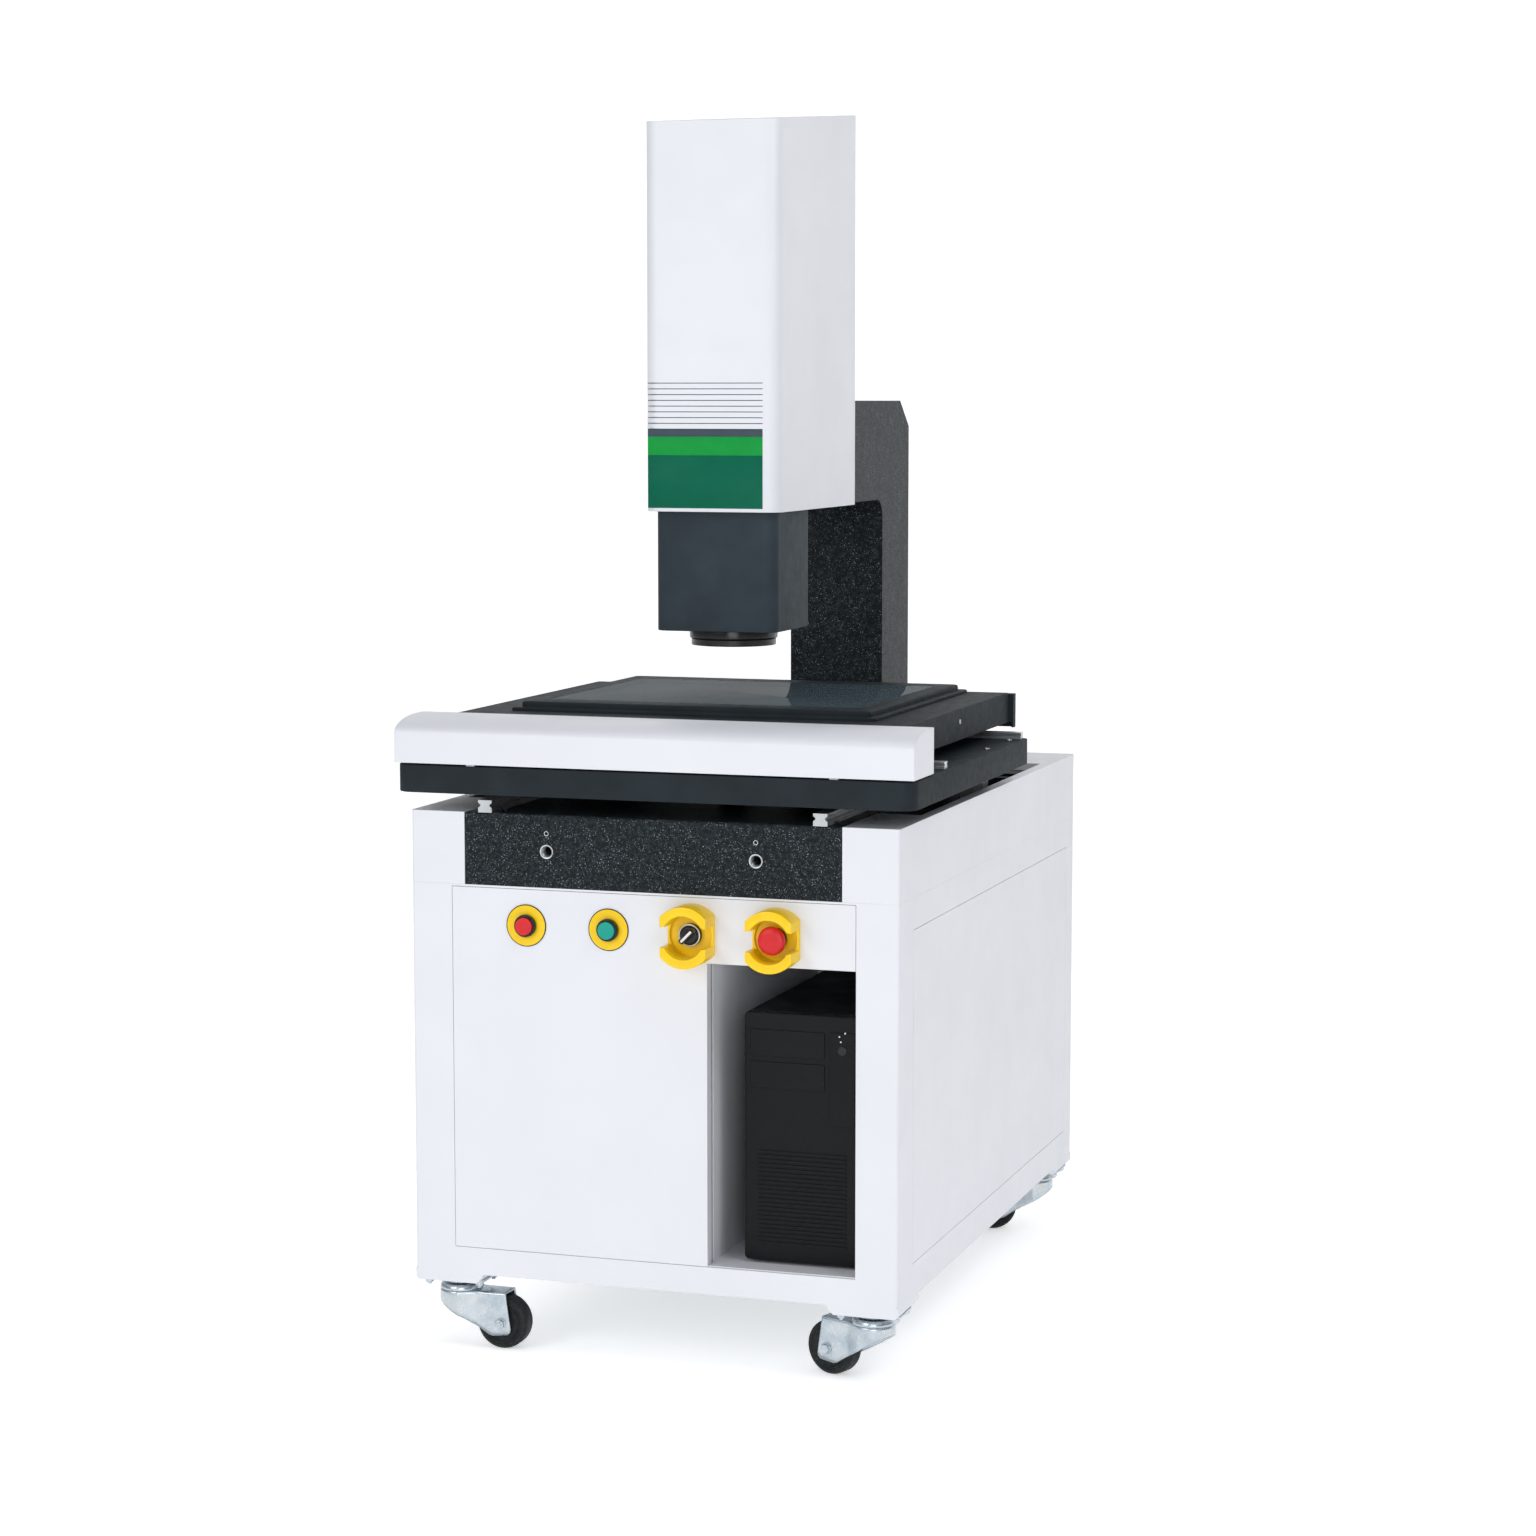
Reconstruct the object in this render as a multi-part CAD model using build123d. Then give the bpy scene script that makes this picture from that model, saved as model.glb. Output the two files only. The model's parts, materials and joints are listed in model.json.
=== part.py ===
from build123d import *
import os

# Vision measuring machine on a wheeled cabinet, in millimetres.
# X runs to the right, Y to the back and Z up. The origin is on the floor,
# under the middle of the machine's whole footprint.

# Cabinet
cabinet_width = 700.0
cabinet_depth = 1000.0
cabinet_height = 547.0
cabinet_corner = 5.0
frame_sheet = 3.0
post_width = 60.0
side_post_width = 68.0
rear_post_width = 50.0
bottom_rail = 38.0
side_top_rail = 43.0
side_bottom_rail = 47.0
return_depth = 25.0
shut_gap = 0.6
panel_sheet = 2.0
panel_flange = 18.0
foot_height = 13.0
foot_size = 100.0
foot_bevel = 9.0
beam_width = 60.0
beam_height = 54.0
beam_wall = 4.0
beam_pitch = 600.0
pad_radius = 30.0
pad_height = 3.0
louvre_count = 7
louvre_length = 90.0
louvre_width = 5.0
louvre_pitch = 16.0
inlet_width = 28.0
inlet_height = 24.0
inlet_rise = 40.0
inlet_depth = 32.0

# Computer bay and computer
bay_width = 209.0
bay_height = 415.0
bay_back_room = 75.0
computer_width = 165.0
computer_height = 342.0
computer_depth = 390.0
computer_setback = 35.0
computer_bezel = 22.0
computer_foot = 4.0
computer_corner = 6.0
computer_gap = 3.6
computer_foot_radius = 12.0

# Casters
caster_height = 100.0
caster_inset = 48.0
caster_trail = 66.0
wheel_radius = 37.5
wheel_width = 28.0
hub_width = 31.0
hub_radius = 13.0
axle_radius = 4.0
fork_sheet = 3.0
fork_gap = 0.5
fork_top = 81.5
dome_radius = 30.0
king_pin_radius = 5.0
race_radius = 23.0
race_height = 7.5
caster_plate = 3.0
caster_plate_length = 92.0
caster_plate_width = 66.0
caster_yaw = {"fl": 0.0, "fr": 160.0, "br": 198.0, "bl": -12.0}

# Granite base, column and the white surround
surround_width = 80.0
granite_thickness = 100.0
granite_edge = 2.0
surround_sheet = 3.0
corner_block_depth = 156.0
slot_flange = 16.0
insert_pitch = 300.0
insert_radius = 10.0
insert_bore = 7.0
insert_depth = 30.0
insert_drop = 50.5
column_width = 150.0
pillar_depth = 150.0
throat_height = 405.0
arm_height = 153.0
arm_fillet = 28.0
column_chamfer_depth = 52.0
column_chamfer_height = 42.0
lens_setback = 350.0
lens_to_arm = 190.0

# Head cover
head_width = 200.0
head_height = 542.0
head_rise = 32.0
head_front = 100.0
head_back = 273.0
head_corner = 22.0
head_rear_corner = 6.0
head_sheet = 2.0
head_drop = 1.0
arm_clearance = 1.0

# Guides and drives
guide_clearance = 0.3
running_clearance = 0.05
y_rail_inset = 30.0
y_rail_width = 20.0
y_rail_height = 17.0
y_rail_stop = 170.0
y_guide_height = 25.0
y_carriage_width = 44.0
y_carriage_length = 74.0
y_carriage_pitch = 250.0
x_rail_width = 15.0
x_rail_height = 10.0
x_rail_end_gap = 6.0
x_rail_setback = 76.0
x_drive_clearance = 1.0
x_guide_height = 18.0
x_carriage_width = 28.0
x_carriage_length = 60.0
x_carriage_pitch = 240.0
z_rail_inset = 30.0
z_rail_width = 15.0
z_rail_height = 12.0
z_rail_length = 413.0
z_guide_height = 28.0
z_carriage_width = 32.0
z_carriage_length = 58.0
screw_radius = 6.0
nut_radius = 12.0
nut_length = 46.0
nut_block_half = 17.0
nut_setback = 30.0
support_thickness = 20.0
motor_size = 50.0
motor_length = 56.0
motor_corner = 5.0

# Stage
stage_overhang = 8.0
saddle_side = 21.0
table_rear_overhang = 51.0
saddle_thickness = 38.0
saddle_corner = 24.0
bar_depth = 97.0
bar_gap = 2.5
bar_height = 62.0
bar_wall = 4.0
bar_curve_depth = 75.0
bar_curve_height = 21.0
table_gap = 6.0
table_side = 43.0
table_depth = 567.0
table_thickness = 44.0
end_plate_side = 7.0
end_plate_height = 50.0
end_plate_depth = 16.0
end_plate_sheet = 3.0
stage_offset = 56.0
glass_side_margin = 37.0
glass_end_margin = 58.0
glass_thickness = 6.0
glass_ledge = 6.0
bezel_side_margin = 60.0
bezel_end_margin = 40.5
bezel_step = 4.6
bezel_rise = 8.0
bezel_inset = 11.0
lamp_radius = 20.0
lamp_clearance = 2.0
lamp_gap = 10.0
lamp_foot = 16.0
y_travel_back = 100.0
y_travel_front = 200.0

# Measuring head
working_gap = 74.4
ring_height = 23.0
ring_radius = 63.0
ring_bore = 30.0
lens_cover_width = 180.0
lens_cover_depth = 170.0
lens_cover_height = 249.0
lens_cover_corner = 20.0
lens_cover_sheet = 2.5
shelf_thickness = 12.0
carriage_plate = 12.0
carriage_height = 180.0
carriage_plate_width = 120.0
gusset_drop = 30.0
z_nut_rise = 70.0
lens_radius = 23.0
lens_tail_radius = 16.0
lens_tail_length = 34.0
lens_body_length = 126.0
lens_step = 10.0
lens_drop = 9.0
camera_size = 46.0
camera_height = 72.0
camera_gap = 30.0
camera_collar = 8.0
z_base_thickness = 12.0
z_base_margin = 10.0
head_tab_height = 24.0
head_tab_margin = 30.0
z_bracket_width = 84.0
z_bracket_thickness = 8.0
z_foot_width = 40.0

# Switches
switch_pitch = 120.0
switch_drop = 53.0
switch_hole = 11.0
legend_radius = 29.0
legend_thickness = 1.5
bezel_ring_radius = 15.5
bezel_ring_height = 8.0
button_radius = 12.0
button_proud = 2.5
button_travel = 4.0
button_rim = 1.5
stem_radius = 7.0
stem_depth = 16.0
knob_radius = 13.0
knob_height = 15.0
mushroom_radius = 19.5
mushroom_height = 13.0
estop_proud = 20.0
estop_travel = 6.0
guard_radius = 42.0
guard_flat = 65.0
guard_wall = 3.0
guard_depth = 40.0
guard_bore = 59.0
guard_window = 28.0
contact_width = 30.0
contact_height = 40.0
contact_depth = 34.0
estop_socket = 5.0

# Places that follow from the sizes above
front = guard_depth / 2 - cabinet_depth / 2
rear = front + cabinet_depth
half_width = cabinet_width / 2
body_bottom = caster_height + foot_height
seam = body_bottom + cabinet_height
sill = body_bottom + bottom_rail
bay_floor = sill + panel_sheet
bay_top = bay_floor + bay_height
opening_half = half_width - post_width
bay_left = opening_half - bay_width
bay_depth = computer_setback + computer_depth + bay_back_room
granite_width = cabinet_width - 2 * surround_width
plate_hole = switch_hole + shut_gap / 2
granite_top = seam + granite_thickness
pillar_front = rear - pillar_depth
lens_y = front + lens_setback
arm_front = lens_y + lens_to_arm
arm_bottom = granite_top + throat_height
column_top = arm_bottom + arm_height
saddle_bottom = granite_top + y_guide_height
saddle_top = saddle_bottom + saddle_thickness
saddle_front = front - stage_overhang
saddle_width = cabinet_width + 2 * saddle_side
table_width = saddle_width - 2 * table_side
end_plate_width = table_width + 2 * end_plate_side
bezel_width = table_width - 2 * bezel_side_margin
bezel_depth = table_depth - 2 * bezel_end_margin
glass_width = bezel_width - 2 * glass_side_margin
glass_depth = bezel_depth - 2 * glass_end_margin
y_rail_pitch = granite_width - 2 * y_rail_inset
y_rail_length = cabinet_depth - y_rail_stop
x_rail_length = saddle_width - 2 * x_rail_end_gap
table_bottom = saddle_top + x_guide_height
table_top = table_bottom + table_thickness
table_front = saddle_front + bar_depth + table_gap
table_back = table_front + table_depth
saddle_back = table_back - table_rear_overhang
stage_y = lens_y + stage_offset
bezel_top = table_top + bezel_step + bezel_rise
glass_bottom = bezel_top - glass_thickness
ring_bottom = bezel_top + working_gap
cover_bottom = ring_bottom + ring_height
shelf_bottom = cover_bottom + lens_cover_height
shelf_top = shelf_bottom + shelf_thickness
head_bottom = arm_bottom - head_drop
window_half = glass_width / 2 - glass_ledge
window_depth = glass_depth - 2 * glass_ledge
lamp_top = glass_bottom - lamp_gap
slot_center = half_width - slot_flange - (half_width - slot_flange - granite_width / 2) / 2
y_screw_z = granite_top - 35.0
y_screw_back = rear - corner_block_depth - motor_length - 12.0
x_screw_y = saddle_back + motor_size / 2 + 1.0
x_screw_z = saddle_top - motor_size / 2 + 14.0
z_screw_y = arm_front - z_base_thickness - (z_guide_height + 4.0) / 2
z_base_front = arm_front - z_base_thickness
plate_back = z_base_front - z_guide_height
plate_front = plate_back - carriage_plate
z_base_bottom = arm_bottom + z_base_margin
z_rail_bottom = z_base_bottom + z_base_margin
z_base_top = z_rail_bottom + z_rail_length + 2.0
switch_z = seam - switch_drop
switch_x = [(i - 1.5) * switch_pitch for i in range(4)]


def rect(x0, x1, y0, y1, radius=0.0):
    """A rectangle between two corners, with rounded corners when a radius is given."""
    width, height = x1 - x0, y1 - y0
    face = RectangleRounded(width, height, radius) if radius > 0 else Rectangle(width, height)
    return Pos((x0 + x1) / 2, (y0 + y1) / 2) * face


def along_x(sketch, x0, x1):
    """Carries a profile drawn as (y, z) from x0 to x1."""
    return extrude(Plane(origin=(x0, 0, 0), x_dir=(0, 1, 0), z_dir=(1, 0, 0)) * sketch, amount=x1 - x0)


def along_y(sketch, y0, y1):
    """Carries a profile drawn as (x, z) from y0 back to y1."""
    return extrude(Plane(origin=(0, y0, 0), x_dir=(1, 0, 0), z_dir=(0, -1, 0)) * sketch, amount=y0 - y1)


def along_z(sketch, z0, z1):
    """Carries a profile drawn as (x, y) from z0 up to z1."""
    return extrude(Plane.XY.offset(z0) * sketch, amount=z1 - z0)


def block(x0, x1, y0, y1, z0, z1, radius=0.0):
    return along_z(rect(x0, x1, y0, y1, radius), z0, z1)


def outline(*points):
    return make_face(Polyline(*points, close=True))


def rod_x(radius, x0, x1, y, z):
    return along_x(Pos(y, z) * Circle(radius), x0, x1)


def rod_y(radius, y0, y1, x, z):
    return along_y(Pos(x, z) * Circle(radius), y0, y1)


def rod_z(radius, z0, z1, x, y):
    return along_z(Pos(x, y) * Circle(radius), z0, z1)


def octagon_z(radius, z0, z1, x, y):
    """A plain eight-sided foot or rivet, for places that are never seen."""
    return along_z(Pos(x, y) * RegularPolygon(radius, 8), z0, z1)


def revolved(points, axis_plane):
    """Turns a half profile of (radius, height) points about the plane's own Z axis."""
    return axis_plane * revolve(Plane.XZ * outline(*points), Axis.Z)


def save(node, *pieces):
    """Writes the solids of one sub-part to parts/NODE.step."""
    solids = [solid for piece in pieces for solid in piece.solids()]
    shape = solids[0] if len(solids) == 1 else Compound(solids)
    export_step(shape, os.path.join("parts", node + ".step"))


# Cabinet

def side_opening(grow=0.0):
    """The opening in a side of the frame, drawn as (y, z)."""
    low = body_bottom + side_bottom_rail - grow
    high = seam - side_top_rail + grow
    return rect(front + side_post_width - grow, rear - rear_post_width + grow, low, high)


def front_opening(grow=0.0):
    """The opening in the front of the frame, drawn as (x, z)."""
    return rect(-opening_half - grow, opening_half + grow, sill - grow, seam - frame_sheet + grow)


def cabinet_frame():
    body = block(-half_width, half_width, front, rear, body_bottom, seam, cabinet_corner)
    wall = frame_sheet
    inner = half_width - wall
    body -= block(-inner, inner, front + wall, rear - wall, body_bottom + wall, seam - wall)
    body -= block(-opening_half, opening_half, front + post_width, rear - post_width, body_bottom, seam)
    body -= along_x(side_opening(), -half_width, half_width)
    body -= along_y(front_opening(), front, rear)
    side_ring = side_opening(wall) - side_opening()
    body += along_x(side_ring, -half_width, -half_width + return_depth)
    body += along_x(side_ring, half_width - return_depth, half_width)
    front_ring = front_opening(wall) - front_opening()
    body += along_y(front_ring, front, front + return_depth)
    body += along_y(front_ring, rear - return_depth, rear)
    for x_sign in (-1, 1):
        for y_sign in (-1, 1):
            body += foot(x_sign, y_sign)
    return body


def foot(x_sign, y_sign):
    """A pad under a corner post, bevelled on its inner sides and eased on its outer ones."""
    size = foot_size
    pad = Box(size, size, foot_height + frame_sheet)
    inner = pad.faces().sort_by(Axis.Z)[0].edges()
    pad = chamfer(inner.filter_by(Axis.Y).sort_by(Axis.X)[0], foot_bevel)
    under = pad.faces().sort_by(Axis.Z)[0].edges()
    pad = chamfer(under.filter_by(Axis.Y).sort_by(Axis.X)[-1], cabinet_corner - 1.0)
    mirrored = pad if x_sign > 0 else mirror(pad, Plane.YZ)
    x = x_sign * (half_width - size / 2)
    y = (front + rear) / 2 + y_sign * (cabinet_depth / 2 - size / 2)
    return Pos(x, y, caster_height + (foot_height + frame_sheet) / 2) * mirrored


def pan(face_sketch, inner_sketch, carry, face, inward):
    """A folded tray panel: a face sheet with a flange all round it."""
    tray = carry(face_sketch, *sorted((face, face + inward * panel_flange)))
    hollow = carry(inner_sketch, *sorted((face + inward * panel_sheet, face + inward * panel_flange)))
    return tray - hollow


def front_panel_outline(inset):
    """An L, because the computer bay takes the lower right part of the front."""
    left = -opening_half + shut_gap + inset
    right = opening_half - shut_gap - inset
    low = sill + shut_gap + inset
    high = seam - frame_sheet - shut_gap - inset
    step_x = bay_left - inset
    step_z = bay_top + inset
    return outline((left, low), (step_x, low), (step_x, step_z), (right, step_z), (right, high), (left, high))


def front_panel():
    panel = pan(front_panel_outline(0), front_panel_outline(panel_sheet), along_y, front, 1)
    for x in switch_x:
        panel -= rod_y(plate_hole, front, front + panel_flange, x, switch_z)
    return panel


def side_panel(side):
    face = side * half_width
    return pan(side_opening(-shut_gap), side_opening(-shut_gap - panel_sheet), along_x, face, -side)


def rear_panel():
    panel = pan(front_opening(-shut_gap), front_opening(-shut_gap - panel_sheet), along_y, rear, -1)
    middle = (sill + seam) / 2
    for x_sign in (-1, 1):
        for row in range(louvre_count):
            z = middle + (row - (louvre_count - 1) / 2) * louvre_pitch
            slot = Pos(x_sign * opening_half / 2, z) * Rectangle(louvre_length, louvre_width)
            panel -= along_y(slot, rear - panel_flange, rear + 1)
    panel -= along_y(inlet_outline(0.0), rear - panel_flange, rear + 1)
    return panel


def inlet_outline(grow):
    half = inlet_width / 2 + grow
    low = sill + inlet_rise
    return rect(-half, half, low - grow, low + inlet_height + grow)


def power_inlet():
    """A three-pin mains inlet set in the rear panel, with its flange outside."""
    middle = sill + inlet_rise + inlet_height / 2
    body = along_y(inlet_outline(-shut_gap), rear - inlet_depth, rear)
    body += along_y(inlet_outline(6.0), rear - panel_sheet - 3.0, rear - panel_sheet)
    mouth = along_y(inlet_outline(-4.0), rear - 18.0, rear)
    pins = Part()
    for x, z in ((-6.0, middle - 3.0), (0.0, middle), (6.0, middle - 3.0)):
        pins += block(x - 1.0, x + 1.0, rear - 19.0, rear - 3.0, z, z + 4.0)
    return (body - mouth) + pins


def cabinet_floor():
    wall = frame_sheet
    low = body_bottom + wall
    inner = half_width - wall
    return block(-inner, inner, front + wall, rear - wall, low, low + panel_sheet)


def computer_bay():
    """An open-fronted sheet box that holds the computer behind the front panel."""
    sheet = panel_sheet
    left, right = bay_left, opening_half
    back = front + bay_depth
    start = front + return_depth
    outer = block(left - sheet, right + sheet, start, back, bay_floor - sheet, bay_top + sheet)
    outer -= block(left, right, start, back - sheet, bay_floor, bay_top)
    lip_bottom = bay_floor - sheet + shut_gap / 2
    lip = block(left, right - shut_gap, front + panel_sheet, start, lip_bottom, bay_floor)
    return outer + lip


def granite_supports():
    """Two box-section beams across the frame, each with two levelling pads on top."""
    top = seam - pad_height
    reach = half_width - frame_sheet
    pieces = []
    for sign in (-1, 1):
        y = (front + rear) / 2 + sign * beam_pitch / 2
        half = beam_width / 2
        beam = rect(y - half, y + half, top - beam_height, top)
        half -= beam_wall
        hollow = rect(y - half, y + half, top - beam_height + beam_wall, top - beam_wall)
        pieces.append(along_x(beam - hollow, -reach + return_depth, reach - return_depth))
        for x_sign in (-1, 1):
            pieces.append(octagon_z(pad_radius, top, seam, x_sign * granite_width / 3, y))
    return pieces


# Computer

def computer_box():
    front_face = front + computer_setback
    right = opening_half - computer_gap
    left = right - computer_width
    low = bay_floor + computer_foot
    return left, right, front_face, front_face + computer_depth, low, low + computer_height


def computer_case():
    left, right, front_face, back, low, high = computer_box()
    case = block(left + 1, right - 1, front_face + computer_bezel, back, low, high - 2)
    feet = []
    for x in (left + 25, right - 25):
        for y in (front_face + 50, back - 40):
            feet.append(octagon_z(computer_foot_radius, bay_floor, low, x, y))
    return [case] + feet


def computer_front():
    """The moulded front of the tower: a rounded frame, two drive covers and an air inlet."""
    left, right, front_face, back, low, high = computer_box()
    shell = along_y(rect(left, right, low, high), front_face, front_face + computer_bezel)
    shell = chamfer(shell.faces().sort_by(Axis.Y)[0].edges(), computer_corner / 2)
    for row in range(2):
        top = high - 22.0 - row * 44.0
        shell -= along_y(rect(left + 8, right - 50, top - 38.0, top), front_face, front_face + 1.2)
    for row in range(10):
        z = low + 30.0 + row * 9.0
        shell -= along_y(rect(left + 22, right - 22, z, z + 4.0), front_face, front_face + 5.0)
    return shell


# Casters

def caster_frame(corner):
    """The swivel axis of one caster, turned so that the wheel trails along its own X."""
    x_sign = -1 if corner[1] == "l" else 1
    y_sign = -1 if corner[0] == "f" else 1
    x = x_sign * (half_width - caster_inset)
    y = (front + rear) / 2 + y_sign * (cabinet_depth / 2 - caster_inset)
    return Pos(x, y, 0), Rot(0, 0, caster_yaw[corner])


def caster_top(place):
    """Top plate, raised race, and king pin with its riveted head."""
    low = caster_height - caster_plate
    plate = Pos(0, 0, (low + caster_height) / 2) * Box(caster_plate_length, caster_plate_width, caster_plate)
    plate = chamfer(plate.edges().filter_by(Axis.Z), 8.0)
    race = [(0, low), (race_radius + 3, low), (race_radius, low - race_height), (0, low - race_height)]
    plate += revolved(race, Pos(0, 0, 0))
    pin_end = fork_top - fork_sheet - guide_clearance
    plate += rod_z(king_pin_radius, pin_end, low, 0, 0)
    plate += octagon_z(king_pin_radius + 3, pin_end - 2.5, pin_end, 0, 0)
    return place * plate


def fork_side():
    """The side view of the fork's pressed sheet, drawn as (trail, z)."""
    t = caster_trail
    r = dome_radius
    return outline(
        (-r, fork_top), (-r, fork_top - 14), (t * 0.44, 33.0), (t * 0.79, 19.0),
        (t + 12, 22.0), (t + 15, 29.0), (t + 8, fork_top),
    )


def fork_plan(inset):
    """The plan of the fork: a round head that narrows to two flat legs."""
    half = hub_width / 2 + fork_gap + fork_sheet - inset
    r = dome_radius - inset
    bend = caster_trail * 0.44
    end = caster_trail + 30
    return Circle(r) + outline((0, r), (bend, half), (end, half), (end, -half), (bend, -half), (0, -r))


def fork():
    sheet = fork_sheet
    shell = along_z(fork_plan(0), 10.0, fork_top) - along_z(fork_plan(sheet), 10.0, fork_top - sheet)
    shell &= along_y(fork_side(), -2 * dome_radius, 2 * dome_radius)
    crown = fork_top + 7.7
    r = dome_radius
    dome = [(0, fork_top), (r, fork_top), (r - 2, crown - 2), (r - 5, crown), (0, crown)]
    shell += revolved(dome, Pos(0, 0, 0))
    shell -= rod_z(king_pin_radius + running_clearance, fork_top - 2 * sheet, crown, 0, 0)
    half = hub_width / 2 + fork_gap + sheet
    shell -= rod_y(axle_radius + running_clearance, -half - 1, half + 1, caster_trail, wheel_radius)
    return shell


def axle_bolt():
    """A hexagon bolt through both legs, with a nut on the far side."""
    half = hub_width / 2 + fork_gap + fork_sheet
    bolt = rod_y(axle_radius, -half, half + 7, caster_trail, wheel_radius)
    head = Pos(caster_trail, wheel_radius) * RegularPolygon(7.2, 6)
    bolt += along_y(head, -half - 5, -half)
    bolt += along_y(head, half, half + 6)
    return bolt


def wheel():
    """A turned wheel: eased tread, dished sides and a hub that is wider than the tyre."""
    half = wheel_width / 2
    hub = hub_width / 2
    bore = axle_radius + running_clearance
    r = wheel_radius
    points = [
        (bore, -hub), (hub_radius, -hub), (hub_radius, -half + 4), (r - 5, -half), (r, -half + 5),
        (r, half - 5), (r - 5, half), (hub_radius, half - 4), (hub_radius, hub), (bore, hub),
    ]
    turned = Rot(90, 0, 0) * revolve(Plane.XZ * outline(*points), Axis.Z)
    return Pos(caster_trail, 0, r) * turned


# Granite base and column

def granite_base():
    base = block(-granite_width / 2, granite_width / 2, front, rear, seam, granite_top)
    base = chamfer(base.faces().sort_by(Axis.Z)[-1].edges(), granite_edge)
    for x in (-insert_pitch / 2, insert_pitch / 2):
        base -= rod_y(insert_radius, front, front + insert_depth, x, granite_top - insert_drop)
    return base


def granite_inserts():
    """Two threaded steel sleeves glued into the front of the granite."""
    pieces = []
    for x in (-insert_pitch / 2, insert_pitch / 2):
        sleeve = rod_y(insert_radius, front, front + insert_depth, x, granite_top - insert_drop)
        pieces.append(sleeve - rod_y(insert_bore, front, front + insert_depth, x, granite_top - insert_drop))
    return pieces


def granite_column():
    """Pillar and arm cut from one profile, with a round inner corner and a bevelled top."""
    profile = outline(
        (pillar_front, granite_top), (rear, granite_top), (rear, column_top - column_chamfer_height),
        (rear - column_chamfer_depth, column_top), (arm_front, column_top), (arm_front, arm_bottom),
        (pillar_front, arm_bottom),
    )
    inner = profile.vertices().sort_by_distance((pillar_front, arm_bottom, 0))[0]
    profile = fillet(inner, arm_fillet)
    column = along_x(profile, -column_width / 2, column_width / 2)
    return chamfer(column.edges().filter_by(Axis.Z).group_by(Axis.Y)[-1], granite_edge)


def surround(side):
    """A white sheet cover beside the granite: a box at each end and a low wall between them."""
    outer = half_width
    inner = granite_width / 2 + shut_gap
    sheet = surround_sheet
    cover = block(inner, outer, front, rear, seam, granite_top)
    corner_edges = cover.edges().filter_by(Axis.Z).group_by(Axis.X)[-1]
    cover = fillet(corner_edges, cabinet_corner)
    cover -= block(inner, outer - sheet, front + sheet, rear - sheet, seam, granite_top - sheet)
    first, last = front + corner_block_depth, rear - corner_block_depth
    cover -= block(inner, outer - slot_flange, first, last, seam, granite_top)
    for y in (first, last - sheet):
        cover += block(inner, outer - sheet, y, y + sheet, seam, granite_top)
    return cover if side > 0 else mirror(cover, Plane.YZ)


# Linear guides

def rail_profile(width, height, grow=0.0):
    """A profiled rail: a wide foot, a waist that the balls run in, and a head."""
    half = width / 2 + grow
    waist = half - width * 0.16
    right = [
        (half, 0), (half, height * 0.38 + grow), (waist, height * 0.52 + grow),
        (waist, height * 0.64 - grow), (half, height * 0.78 - grow), (half, height + grow),
    ]
    left = [(-x, z) for x, z in reversed(right)]
    return outline(*right, *left)


def carriage_profile(width, height, rail_width, rail_height):
    """A guide carriage that wraps the head of its rail."""
    body = rect(-width / 2, width / 2, height * 0.14, height)
    return body - rail_profile(rail_width, rail_height, guide_clearance)


def y_rails():
    pieces = []
    for sign in (-1, 1):
        profile = Pos(sign * y_rail_pitch / 2, granite_top) * rail_profile(y_rail_width, y_rail_height)
        pieces.append(along_y(profile, front, front + y_rail_length))
    return pieces


def y_carriages():
    pieces = []
    shape = carriage_profile(y_carriage_width, y_guide_height, y_rail_width, y_rail_height)
    for sign in (-1, 1):
        for row in (-1, 1):
            y = stage_y + row * y_carriage_pitch / 2
            profile = Pos(sign * y_rail_pitch / 2, granite_top) * shape
            pieces.append(along_y(profile, y - y_carriage_length / 2, y + y_carriage_length / 2))
    return pieces


def x_rail_lines():
    """The front and back lines of the cross rails, whose carriages pass in front of the cross drive."""
    return table_front + x_rail_setback, saddle_back - x_drive_clearance - x_carriage_width / 2


def x_rails():
    pieces = []
    for y in x_rail_lines():
        profile = Pos(y, saddle_top) * rail_profile(x_rail_width, x_rail_height)
        pieces.append(along_x(profile, -x_rail_length / 2, x_rail_length / 2))
    return pieces


def x_carriages():
    pieces = []
    shape = carriage_profile(x_carriage_width, x_guide_height, x_rail_width, x_rail_height)
    for y in x_rail_lines():
        for sign in (-1, 1):
            x = sign * x_carriage_pitch / 2
            profile = Pos(y, saddle_top) * shape
            pieces.append(along_x(profile, x - x_carriage_length / 2, x + x_carriage_length / 2))
    return pieces


def z_rails():
    pieces = []
    for sign in (-1, 1):
        place = Pos(sign * (column_width / 2 - z_rail_inset), z_base_front) * Rot(0, 0, 180)
        profile = place * rail_profile(z_rail_width, z_rail_height)
        pieces.append(along_z(profile, z_rail_bottom, z_rail_bottom + z_rail_length))
    return pieces


# Drives

def screw(length, radius):
    """A ball screw with its ends turned down for the bearings, standing on the XY plane."""
    end = radius * 0.75
    neck = support_thickness
    half = length / 2
    points = [(0, half), (end, half), (end, half - neck), (radius, half - neck)]
    mirrored = [(r, -z) for r, z in reversed(points)]
    return Pos(0, 0, half) * revolve(Plane.XZ * outline(*points, *mirrored), Axis.Z)


def motor():
    """A square motor with a round boss, standing on the XY plane with its shaft side up."""
    body = Pos(0, 0, motor_length / 2 - 1) * Box(motor_size, motor_size, motor_length - 2)
    body = chamfer(body.edges().filter_by(Axis.Z), motor_corner)
    return body + along_z(Circle(motor_size * 0.36), motor_length - 2, motor_length)


def y_screw_ends():
    return front + corner_block_depth + 6.0, y_screw_back


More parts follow.
